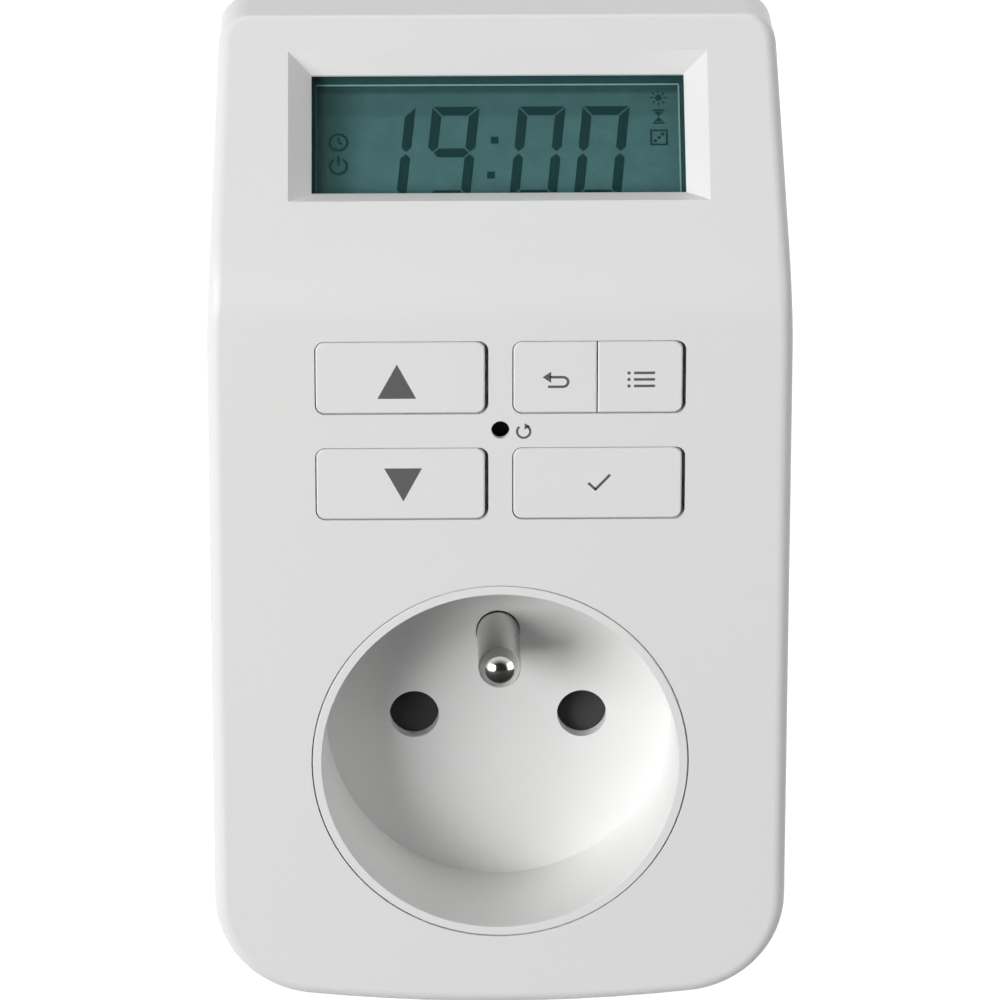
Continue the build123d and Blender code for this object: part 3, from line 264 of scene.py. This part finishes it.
def elastomer():
    """Conducting and insulating layers, turn about."""
    shader = Shader("elastomer", (0.09, 0.09, 0.09), roughness=0.8)
    shader.tint(shader.bands(size=0.3 * MM), (0.30, 0.30, 0.31))
    shader.bump(shader.noise(size=0.3 * MM), depth=0.02 * MM)
    return shader


def ribbon():
    """Flat cable: parallel cores under a pale skin."""
    shader = Shader("ribbon_white", (0.62, 0.62, 0.59), roughness=0.5)
    cores = shader.bands(size=1.27 * MM)
    # Painted shade: the skin is darker in the grooves between the cores.
    shader.tint(shader.spread(cores, 0.4, 0.0), (0.42, 0.42, 0.40))
    shader.bump(cores, depth=0.15 * MM)
    return shader


def printed(name, color, gloss=0.2):
    """Pad-printed ink with a faint unevenness."""
    shader = Shader(name, color, roughness=0.55, Specular_IOR_Level=gloss)
    shader.vary(size=0.6 * MM, amount=0.12)
    shader.bump(shader.noise(size=0.15 * MM), depth=0.003 * MM)
    return shader


PLASTICS = (                  # colour, roughness, the grain's size and depth in mm, colour drift
    ("housing_white", (0.775, 0.775, 0.770), 0.46, 0.22, 0.012, 0.015),
    ("insert_white", (0.79, 0.79, 0.785), 0.38, 0.30, 0.006, 0.015),
    ("key_white", (0.785, 0.785, 0.78), 0.42, 0.20, 0.008, 0.015),
    ("shutter_grey", (0.035, 0.035, 0.036), 0.5, 0.25, 0.01, 0.03),
    ("carrier_grey", (0.16, 0.16, 0.16), 0.5, 0.25, 0.012, 0.03),
    ("holder_white", (0.62, 0.62, 0.61), 0.5, 0.25, 0.01, 0.03),
    ("resin_black", (0.018, 0.018, 0.019), 0.45, 0.15, 0.01, 0.03),
    ("header_black", (0.02, 0.02, 0.02), 0.4, 0.2, 0.01, 0.03),
    ("switch_black", (0.022, 0.022, 0.022), 0.5, 0.2, 0.01, 0.03),
    ("plunger_black", (0.015, 0.015, 0.015), 0.35, 0.2, 0.006, 0.03),
    ("capacitor_yellow", (0.60, 0.40, 0.04), 0.35, 0.4, 0.01, 0.03),
    ("sleeve_black", (0.02, 0.02, 0.035), 0.28, 0.6, 0.01, 0.03),
    ("varistor_blue", (0.03, 0.08, 0.33), 0.42, 0.7, 0.05, 0.03),
    ("resistor_green", (0.10, 0.23, 0.13), 0.55, 0.4, 0.02, 0.03),
    ("relay_blue", (0.03, 0.09, 0.30), 0.3, 0.3, 0.005, 0.03),
)
METALS = (                    # colour, roughness, and the scale of the scratches on each axis
    ("nickel", (0.60, 0.595, 0.58), 0.13, (1, 0.08, 1)),
    ("spring_steel", (0.52, 0.52, 0.52), 0.25, (1, 1, 1)),
    ("contact_brass", (0.66, 0.47, 0.20), 0.28, (1, 1, 0.08)),
    ("can_steel", (0.60, 0.60, 0.60), 0.24, (1, 1, 1)),
    ("iron", (0.45, 0.45, 0.44), 0.35, (1, 1, 1)),
    ("screw_steel", (0.55, 0.55, 0.53), 0.3, (1, 1, 1)),
)

finishes = {
    "board_green": laminate("board_green", (0.02, 0.13, 0.05), copper=(0.04, 0.24, 0.09)),
    "board_tan": laminate("board_tan", (0.34, 0.22, 0.09), copper=(0.14, 0.20, 0.06)),
    "lcd_teal": crystal_film("lcd_teal", (0.024, 0.080, 0.082)),
    "window_clear": window_pane(),
    "elastomer": elastomer(),
    "ribbon_white": ribbon(),
    "copper_coil": coil_winding(),
}
for name, color, roughness, grain, depth, drift in PLASTICS:
    finishes[name] = moulded(name, color, roughness, grain * MM, depth * MM, drift)
for name, color, roughness, stretch in METALS:
    finishes[name] = plated(name, color, roughness, stretch)
ink = printed("legend_grey", (0.125, 0.125, 0.125))
segment_ink = printed("segment_dark", (0.0125, 0.046, 0.046), gloss=0.0)
sign_ink = printed("sign_dark", (0.014, 0.050, 0.050), gloss=0.0)


def paint_nodes():
    """Gives each carried-over node the material of its slot."""
    for part in frame["record"]["subparts"]:
        data = frame["nodes"][part["node"]].data
        data.materials.clear()
        data.materials.append(finishes[part["material_slot"]].material)


# ---------------------------------------------------------------- making pieces

def join_rings(mesh, first, second):
    """A band of faces between two rings of as many points."""
    for i in range(len(first)):
        j = (i + 1) % len(first)
        mesh.faces.new((first[i], first[j], second[j], second[i]))


def finished(name, mesh):
    """The mesh's data, with every face turned outwards."""
    bmesh.ops.recalc_face_normals(mesh, faces=mesh.faces)
    data = bpy.data.meshes.new(name)
    mesh.to_mesh(data)
    mesh.free()
    return data


def smoothed(data):
    """Smooth shading that keeps the corners sharp."""
    data.shade_smooth()
    data.set_sharp_from_angle(angle=SHARP_ANGLE)
    return data


def add_piece(name, data, shader, body):
    """A new piece in the scene, on its body, with the shader's material."""
    data.materials.append(shader.material)
    piece = bpy.data.objects.new(name, data)
    bpy.context.scene.collection.objects.link(piece)
    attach(piece, body)
    return piece


def plate(name, outlines, place, front, back, shader, body):
    """Flat shapes as one piece. `place` carries (across, up, depth) in millimetres to a point."""
    mesh = bmesh.new()
    for outline in outlines:
        ahead = [mesh.verts.new(place(u, v, front)) for u, v in outline]
        behind = [mesh.verts.new(place(u, v, back)) for u, v in outline]
        mesh.faces.new(ahead)
        mesh.faces.new(behind[::-1])
        join_rings(mesh, behind, ahead)
    add_piece(name, finished(name, mesh), shader, body)


# ---------------------------------------------------------------- outlines

def bar(x0, y0, x1, y1, width):
    """A straight stroke between two points."""
    along = Vector((x1 - x0, y1 - y0)).normalized() * (width / 2)
    side = (-along.y, along.x)
    return [
        (x0 + side[0], y0 + side[1]),
        (x0 - side[0], y0 - side[1]),
        (x1 - side[0], y1 - side[1]),
        (x1 + side[0], y1 + side[1]),
    ]


def box(x0, y0, x1, y1):
    return [(x0, y0), (x1, y0), (x1, y1), (x0, y1)]


def arc(x, y, radius, width, start=0.0, sweep=360.0, steps=48):
    """A curved stroke, as short four-sided pieces."""
    inner, outer = radius - width / 2, radius + width / 2
    pieces = []
    for i in range(steps):
        a, b = (math.radians(start + sweep * k / steps) for k in (i, i + 1))
        pieces.append([
            (x + outer * math.cos(a), y + outer * math.sin(a)),
            (x + outer * math.cos(b), y + outer * math.sin(b)),
            (x + inner * math.cos(b), y + inner * math.sin(b)),
            (x + inner * math.cos(a), y + inner * math.sin(a)),
        ])
    return pieces


def disc(x, y, radius, steps=24):
    turn = 2 * math.pi / steps
    return [
        (x + radius * math.cos(i * turn), y + radius * math.sin(i * turn)) for i in range(steps)
    ]


def moved(outlines, x, y, scale=1.0):
    return [[(x + scale * u, y + scale * v) for u, v in outline] for outline in outlines]


# ---------------------------------------------------------------- digits

FILM = 3.66                   # depth of the film's front below the display face
INK_FRONT = 3.64
DIGIT_WIDTH = 5.2
DIGIT_HEIGHT = 11.26
DIGIT_MIDDLE = 17.12          # up the slope from the bend
DIGIT_SLANT = 0.105           # sideways for each millimetre up
STROKE = 1.08
STROKE_GAP = 0.13
DIGITS = (("1", -12.24), ("9", -5.19), ("0", 4.31), ("0", 11.39))
COLON_X = -0.55
COLON_HEIGHTS = (18.64, 14.40)
COLON_HALF = 0.42
SEGMENTS = {"0": "abcdef", "1": "bc", "9": "abcdfg"}


def segment(letter):
    """One segment of a digit, about the digit's centre, before it is slanted."""
    w, h, t, g = DIGIT_WIDTH / 2, DIGIT_HEIGHT / 2, STROKE, STROKE_GAP
    top = [(-w + g, h), (w - g, h), (w - t - g, h - t), (-w + t + g, h - t)]
    upper = [(w, h - g), (w, t / 2 + g), (w - t / 2, g), (w - t, t / 2 + g), (w - t, h - t - g)]
    cross = [
        (-w + t / 2 + g, 0), (-w + t + g, t / 2), (w - t - g, t / 2),
        (w - t / 2 - g, 0), (w - t - g, -t / 2), (-w + t + g, -t / 2),
    ]
    shapes = {
        "a": top,
        "b": upper,
        "c": [(x, -y) for x, y in upper],
        "d": [(x, -y) for x, y in top],
        "e": [(-x, -y) for x, y in upper],
        "f": [(-x, y) for x, y in upper],
        "g": cross,
    }
    return shapes[letter]


def slanted(outline, x):
    return [(x + u + DIGIT_SLANT * v, DIGIT_MIDDLE + v) for u, v in outline]


def on_film(name, outlines, shader, front=INK_FRONT, back=FILM):
    """Flat shapes on the display's film."""
    plate(name, outlines, on_display, front, back, shader, "housing")


def display_digits():
    outlines = [slanted(segment(k), x) for digit, x in DIGITS for k in SEGMENTS[digit]]
    dot = box(-COLON_HALF, -COLON_HALF, COLON_HALF, COLON_HALF)
    for s in COLON_HEIGHTS:
        outlines += moved([dot], COLON_X + DIGIT_SLANT * (s - DIGIT_MIDDLE), s)
    on_film("lcd_digits", outlines, segment_ink)


# ---------------------------------------------------------------- signs on the display

def clock_sign():
    return [*arc(0, 0, 0.78, 0.22), bar(0, 0, 0, 0.5, 0.2), bar(0, 0, 0.36, -0.2, 0.2)]


def power_sign():
    return [*arc(0, -0.05, 0.75, 0.24, 120, 300, 32), bar(0, 0.05, 0, 0.95, 0.24)]


def sun_sign():
    rays = []
    for i in range(8):
        across, up = math.cos(math.radians(45 * i)), math.sin(math.radians(45 * i))
        rays.append(bar(0.52 * across, 0.52 * up, 0.86 * across, 0.86 * up, 0.17))
    return [disc(0, 0, 0.36), *rays]


def hourglass_sign():
    return [
        box(-0.6, 0.62, 0.6, 0.8),
        box(-0.6, -0.8, 0.6, -0.62),
        [(-0.45, 0.55), (0.45, 0.55), (0.0, 0.0)],
        [(-0.45, -0.55), (0.45, -0.55), (0.0, 0.0)],
    ]


def dice_sign():
    sides = [
        bar(-0.75, -0.75, 0.75, -0.75, 0.18), bar(-0.75, 0.75, 0.75, 0.75, 0.18),
        bar(-0.75, -0.84, -0.75, 0.84, 0.18), bar(0.75, -0.84, 0.75, 0.84, 0.18),
    ]
    return [*sides, *(disc(0.36 * k, 0.36 * k, 0.17) for k in (-1, 0, 1))]


def display_signs():
    """Plain signs on the glass: a clock and a power sign on the left, three on the right."""
    signs = (                 # each with its place on the display face and its scale
        (clock_sign(), -17.6, 18.45, 1.25),
        (power_sign(), -17.6, 15.6, 1.25),
        (sun_sign(), 17.75, 23.75, 1.05),
        (hourglass_sign(), 17.75, 21.45, 1.1),
        (dice_sign(), 17.75, 18.9, 1.15),
    )
    outlines = []
    for sign, x, s, scale in signs:
        outlines += moved(sign, x, s, scale)
    on_film("lcd_signs", outlines, sign_ink)


# ---------------------------------------------------------------- the display's film

FILM_BACK = 3.70
FILM_FRONT = 3.63             # the film's cut edge stands a little higher than the film
FILM_LEFT = -20.15
FILM_RIGHT = 20.1
FILM_LOW = 10.6
FILM_HIGH = 25.5
FILM_EDGE = 0.17
FILM_COLOR = (0.069, 0.166, 0.168)
# Painted shade: the film is darker along its left, top and bottom, where the bezel's shadow falls.
SHADE_LEVEL = 0.2             # the shade's colour, as a share of the film's
FILM_SHADES = (               # axis, where the shade starts and is full, and its strength there
    ("X", -13.8, -18.6, 0.60),
    ("Z", 21.1, 22.0, 0.20),
    ("Z", 24.1, 24.7, 0.55),
    ("Z", 12.5, 11.6, 0.50),
)


def display_film():
    """The polarising film on the glass, with painted shade along its left, top and bottom, and
    painted light on its cut edges: a highlight at the top and right, shade at the left. All stay the
    same in any light."""
    shader = crystal_film("lcd_film", FILM_COLOR)
    shade = [SHADE_LEVEL * c for c in FILM_COLOR]
    for axis, start, end, amount in FILM_SHADES:
        if axis == "Z":
            start, end = (on_display(0, s, FILM).z for s in (start, end))
        else:
            start, end = start * MM, end * MM
        shader.tint(shader.ramp(axis, start, end, amount), shade)
    whole = box(FILM_LEFT, FILM_LOW, FILM_RIGHT, FILM_HIGH)
    on_film("lcd_film", [whole], shader, FILM, FILM_BACK)
    half = FILM_EDGE / 2
    left = bar(FILM_LEFT + half, FILM_LOW, FILM_LEFT + half, FILM_HIGH, FILM_EDGE)
    right = bar(FILM_RIGHT - half, FILM_LOW, FILM_RIGHT - half, FILM_HIGH, FILM_EDGE)
    top = bar(FILM_LEFT, FILM_HIGH - half, FILM_RIGHT, FILM_HIGH - half, FILM_EDGE)
    # The edges' colours are painted light: a highlight on the right and top edges, shade on the left
    # one.
    painted_highlight_edge = printed("film_edge", (0.30, 0.50, 0.49))
    painted_shade_edge = printed("film_edge_painted_shade", (0.055, 0.150, 0.130))
    on_film("lcd_film_edge", [right, top], painted_highlight_edge, FILM_FRONT)
    on_film("lcd_film_edge_left_painted_shade", [left], painted_shade_edge, FILM_FRONT)


# ---------------------------------------------------------------- legends

PROUD = -0.004                # legends and the socket's rim stand a few microns proud
LEGEND_BACK = 0.03
LEGEND_STROKE = 0.30
UP_TRIANGLE = [(-13.45, 42.8), (-9.2, 42.8), (-11.3, 46.75)]
DOWN_TRIANGLE = [(-12.75, 34.75), (-8.6, 34.75), (-10.65, 30.9)]


def legend(name, outlines, body):
    """Ink on the main face or on a key."""
    plate(name, outlines, on_face, PROUD, LEGEND_BACK, ink, body)


def key_triangles():
    legend("key_up_legend", [UP_TRIANGLE], "button_up")
    legend("key_down_legend", [DOWN_TRIANGLE], "button_down")


def return_sign():
    """An arrow that turns back."""
    w = LEGEND_STROKE
    return [
        [(-1.5, 0.35), (-0.55, 1.0), (-0.55, -0.3)],
        bar(-0.7, 0.35, 0.75, 0.35, w),
        *arc(0.75, -0.2, 0.55, w, 90, -180, 20),
        bar(0.75, -0.75, -0.9, -0.75, w),
    ]


def list_sign():
    """Three lines, each with its dot."""
    rows = []
    for y in (-0.75, 0.0, 0.75):
        rows.append(disc(-1.35, y, 0.19))
        rows.append(bar(-0.8, y, 1.5, y, LEGEND_STROKE))
    return rows


def tick_sign():
    return [
        bar(-1.15, 0.0, -0.3, -0.8, LEGEND_STROKE),
        bar(-0.41, -0.82, 1.25, 0.95, LEGEND_STROKE),
    ]


def restart_sign():
    """An open ring with an arrow's head."""
    return [*arc(0, 0, 0.72, 0.26, 60, -290, 36), [(0.1, 0.95), (0.1, 0.22), (0.72, 0.62)]]


def key_signs():
    signs = (                 # the body, its sign, and the sign's place on the main face
        ("button_recall", return_sign(), 6.1, 44.85),
        ("button_menu", list_sign(), 15.4, 44.9),
        ("button_ok", tick_sign(), 10.8, 32.95),
        ("housing", restart_sign(), 2.55, 38.95),
    )
    for body, sign, x, z in signs:
        legend(f"{body}_legend", moved(sign, x, z), body)


# ---------------------------------------------------------------- socket's rim

RIM_INNER = 19.9              # the socket's mouth
RIM_OUTER = 20.87
RIM_EDGE = 0.05
RIM_BACK = 0.5
RIM_STEPS = 192


def socket_rim():
    """The insert's own flat rim with crisp edges, over the CAD insert's plain chamfers."""
    profile = (
        (RIM_INNER, RIM_BACK), (RIM_INNER, RIM_EDGE), (RIM_INNER + RIM_EDGE, PROUD),
        (RIM_OUTER - RIM_EDGE, PROUD), (RIM_OUTER, RIM_EDGE), (RIM_OUTER, RIM_BACK),
    )
    mesh = bmesh.new()
    rings = []
    for i in range(RIM_STEPS):
        turn = i * 2 * math.pi / RIM_STEPS
        points = (on_face(r * math.cos(turn), r * math.sin(turn), depth) for r, depth in profile)
        rings.append([mesh.verts.new(point) for point in points])
    for i, ring in enumerate(rings):
        join_rings(mesh, ring, rings[(i + 1) % RIM_STEPS])
    data = smoothed(finished("socket_rim", mesh))
    add_piece("socket_rim", data, finishes["insert_white"], "housing")


# ---------------------------------------------------------------- shutter spring

COIL_WIRE = 0.2               # the wire's radius
COIL_TURNS = 5
COIL_STEPS = 32               # in each turn
COIL_CLOSING = 0.07           # how far the end turns close up


def coil_spring():
    """The shutter's spring in round wire with closed ends, in place of the plain CAD coil."""
    low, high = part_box("shutter_spring")
    centre = (low + high) / 2
    wire = COIL_WIRE * MM
    radius = (high.x - low.x) / 2 - wire
    run = high.z - low.z - 2 * wire
    count = COIL_TURNS * COIL_STEPS
    curve = bpy.data.curves.new("shutter_coil", "CURVE")
    curve.dimensions = "3D"
    curve.bevel_depth = wire
    curve.bevel_resolution = 3
    spline = curve.splines.new("POLY")
    spline.points.add(count)
    for i, point in enumerate(spline.points):
        share = i / count
        rise = share - COIL_CLOSING * math.sin(2 * math.pi * share)
        turn = 2 * math.pi * COIL_TURNS * share
        x = centre.x + radius * math.cos(turn)
        y = centre.y + radius * math.sin(turn)
        point.co = (x, y, low.z + wire + run * rise, 1.0)
    draft = bpy.data.objects.new("shutter_coil_draft", curve)
    bpy.context.scene.collection.objects.link(draft)
    ready = draft.evaluated_get(bpy.context.evaluated_depsgraph_get())
    data = bpy.data.meshes.new_from_object(ready)
    bpy.data.objects.remove(draft)
    piece = add_piece("shutter_coil", data, finishes["spring_steel"], "housing")
    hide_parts("shutter_spring")
    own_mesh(piece)


# ---------------------------------------------------------------- housing screws

HOUSING_SCREWS = ((-23.5, -18.5), (23.5, -18.5), (-26.2, 64.0), (26.2, 64.0))
SCREW_PROFILE = (             # radius, and the share of the screw's length from its tip
    (0.25, 0.0), (1.2, 0.09), (1.2, 0.859), (2.4, 0.859),
    (2.4, 0.945), (2.3, 0.975), (2.05, 0.994), (1.75, 1.0),
)
SCREW_STEPS = 40
RECESS_DEPTH = 1.1
RECESS_MOUTH = (1.3, 0.3)     # the cross's arm and half its width, at the head's face
RECESS_FLOOR = (0.75, 0.2)    # and at its bottom


def cross_outline(arm, half):
    """The twelve corners of a cross, anticlockwise."""
    corners = []
    for quarter in range(4):
        turn = Matrix.Rotation(quarter * math.pi / 2, 2)
        corners += [turn @ Vector(corner) for corner in ((arm, half), (half, half), (half, arm))]
    return corners


def add_screw(mesh, x, z, tip, top):
    """A pan-headed screw along Y with a cross recess in its head."""

    def ring(outline, y):
        return [mesh.verts.new((x * MM + u * MM, y, z * MM + v * MM)) for u, v in outline]

    rings = [ring(disc(0, 0, r, SCREW_STEPS), tip + share * (top - tip)) for r, share in SCREW_PROFILE]
    mesh.faces.new(rings[0])
    for low, high in zip(rings, rings[1:]):
        join_rings(mesh, low, high)
    mouth = ring(cross_outline(*RECESS_MOUTH), top)
    floor = ring(cross_outline(*RECESS_FLOOR), top - RECESS_DEPTH * MM)
    mesh.faces.new(floor)
    join_rings(mesh, mouth, floor)
    loops = (rings[-1], mouth)
    rims = [mesh.edges.get((loop[i], loop[i - 1])) for loop in loops for i in range(len(loop))]
    bmesh.ops.triangle_fill(mesh, use_beauty=True, edges=rims)


def housing_screws():
    """The four case screws, in place of the plain CAD ones."""
    low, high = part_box("housing_screws")
    mesh = bmesh.new()
    for x, z in HOUSING_SCREWS:
        add_screw(mesh, x, z, low.y, high.y)
    data = smoothed(finished("case_screws", mesh))
    piece = add_piece("case_screws", data, finishes["screw_steel"], "housing")
    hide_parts("housing_screws")


# ---------------------------------------------------------------- stage

FLOOR_Z = -100 * MM
FLOOR_HALF = 6.0
FLOOR_PALE = (0.85, 0.85, 0.85, 1)
FLOOR_DARK = (0.03, 0.03, 0.03, 1)
CLOTH_EDGE = -0.03            # the floor bounces little light in front of this
CLOTH_BLEND = 0.04
FLOOR_GLOW = 0.5              # near the object, where its shadow lies
GLOW_NEAR = 0.35
GLOW_FAR = 0.90               # from here on the glow alone is white
AMBIENT = 0.12
DARK_FRONT = -0.80            # the dome is darkest where a direction's Y is below this
LIT_FRONT = -0.45
DARK_LEVEL = 0.03


def seen(tree):
    """1 for camera, glossy and transmission rays."""
    path = tree.nodes.new("ShaderNodeLightPath")
    total = path.outputs["Is Camera Ray"]
    for name in ("Is Glossy Ray", "Is Transmission Ray"):
        total = combined(tree, "MAXIMUM", total, path.outputs[name])
    return total


def floor_material():
    """Pale, and lifted to white with its shadow kept for camera, glossy and transmission rays.
    In front of the object every ray but the camera's meets a dark cloth instead."""
    material = bpy.data.materials.new("floor_pale")
    material.use_nodes = True
    tree = material.node_tree
    place = tree.nodes.new("ShaderNodeTexCoord").outputs["Object"]
    camera_ray = tree.nodes.new("ShaderNodeLightPath").outputs["Is Camera Ray"]
    forward = along_axis(tree, place, "Y")
    behind = ranged(tree, forward, From_Min=CLOTH_EDGE - CLOTH_BLEND, From_Max=CLOTH_EDGE)
    pale = combined(tree, "MAXIMUM", camera_ray, behind)
    mix = tree.nodes.new("ShaderNodeMix")
    mix.data_type = "RGBA"
    mix.inputs["A"].default_value = FLOOR_DARK
    mix.inputs["B"].default_value = FLOOR_PALE
    tree.links.new(pale, mix.inputs["Factor"])
    bsdf = tree.nodes["Principled BSDF"]
    bsdf.inputs["Roughness"].default_value = 0.9
    tree.links.new(mix.outputs["Result"], bsdf.inputs["Base Color"])
    reach = tree.nodes.new("ShaderNodeVectorMath")
    reach.operation = "LENGTH"
    tree.links.new(place, reach.inputs[0])
    away = ranged(
        tree, reach.outputs["Value"],
        From_Min=GLOW_NEAR, From_Max=GLOW_FAR, To_Min=FLOOR_GLOW, To_Max=1.0,
    )
    lift = combined(tree, "MULTIPLY", seen(tree), pale)
    glow = tree.nodes.new("ShaderNodeEmission")
    tree.links.new(combined(tree, "MULTIPLY", lift, away), glow.inputs["Strength"])
    both = tree.nodes.new("ShaderNodeAddShader")
    tree.links.new(bsdf.outputs[0], both.inputs[0])
    tree.links.new(glow.outputs[0], both.inputs[1])
    tree.links.new(both.outputs[0], tree.nodes["Material Output"].inputs["Surface"])
    return material


def studio_floor():
    data = bpy.data.meshes.new("floor")
    corners = [(x, y, FLOOR_Z) for x, y in box(-FLOOR_HALF, -FLOOR_HALF, FLOOR_HALF, FLOOR_HALF)]
    data.from_pydata(corners, [], [(0, 1, 2, 3)])
    data.materials.append(floor_material())
    floor = bpy.data.objects.new("floor", data)
    bpy.context.scene.collection.objects.link(floor)


def studio_world():
    """A dim dome that camera, glossy and transmission rays see white. Towards the front, where
    the camera stands, it is dark for every ray."""
    world = bpy.data.worlds.new("studio")
    bpy.context.scene.world = world
    world.use_nodes = True
    tree = world.node_tree
    background = tree.nodes["Background"]
    background.inputs["Color"].default_value = (1, 1, 1, 1)
    level = ranged(tree, seen(tree), To_Min=AMBIENT, To_Max=1.0)
    forward = along_axis(tree, tree.nodes.new("ShaderNodeTexCoord").outputs["Generated"], "Y")
    front = ranged(
        tree, forward,
        From_Min=DARK_FRONT, From_Max=LIT_FRONT, To_Min=DARK_LEVEL, To_Max=1.0,
    )
    tree.links.new(combined(tree, "MULTIPLY", level, front), background.inputs["Strength"])


TARGET = Vector((0.0, -0.035, 0.025))
LAMP_DISTANCE = 1.3
LAMPS = (                     # degrees round from the front, degrees up, size, power
    ("key_light", -45, 4, 0.9, 26.0),
    ("back_light", 180, 60, 0.8, 7.3),
    ("fill_light", 60, 12, 0.8, 5.6),
)


def softbox(name, side, height, size, power):
    """A square lamp facing the object."""
    data = bpy.data.lights.new(name, "AREA")
    data.size = size
    data.energy = power
    lamp = bpy.data.objects.new(name, data)
    turn, rise = math.radians(side), math.radians(height)
    across = math.sin(turn) * math.cos(rise)
    ahead = -math.cos(turn) * math.cos(rise)
    offset = Vector((across, ahead, math.sin(rise)))
    lamp.location = TARGET + offset * LAMP_DISTANCE
    lamp.rotation_mode = "QUATERNION"
    lamp.rotation_quaternion = offset.to_track_quat("Z", "Y")
    bpy.context.scene.collection.objects.link(lamp)


CAMERA_PLACE = (-11.878, -740.129, 275.196)
CAMERA_PITCH = math.radians(19.43)         # down
CAMERA_YAW = math.radians(0.98)
CAMERA_ROLL = math.radians(0.026)


def camera():
    """A long lens, a little above the object and to its left."""
    data = bpy.data.cameras.new("camera")
    data.sensor_width = 36.0
    data.lens = 240.46
    data.clip_start = 0.01
    eye = bpy.data.objects.new("camera", data)
    place = Matrix.Translation([c * MM for c in CAMERA_PLACE])
    turn = Matrix.Rotation(-CAMERA_YAW, 4, "Z")
    tilt = Matrix.Rotation(math.pi / 2 - CAMERA_PITCH, 4, "X")
    eye.matrix_world = place @ turn @ tilt @ Matrix.Rotation(CAMERA_ROLL, 4, "Z")
    bpy.context.scene.collection.objects.link(eye)
    bpy.context.scene.camera = eye


paint_nodes()
display_film()
display_digits()
display_signs()
key_triangles()
key_signs()
socket_rim()
coil_spring()
housing_screws()
studio_floor()
studio_world()
for lamp in LAMPS:
    softbox(*lamp)
camera()
bpy.context.scene.view_settings.view_transform = "Standard"
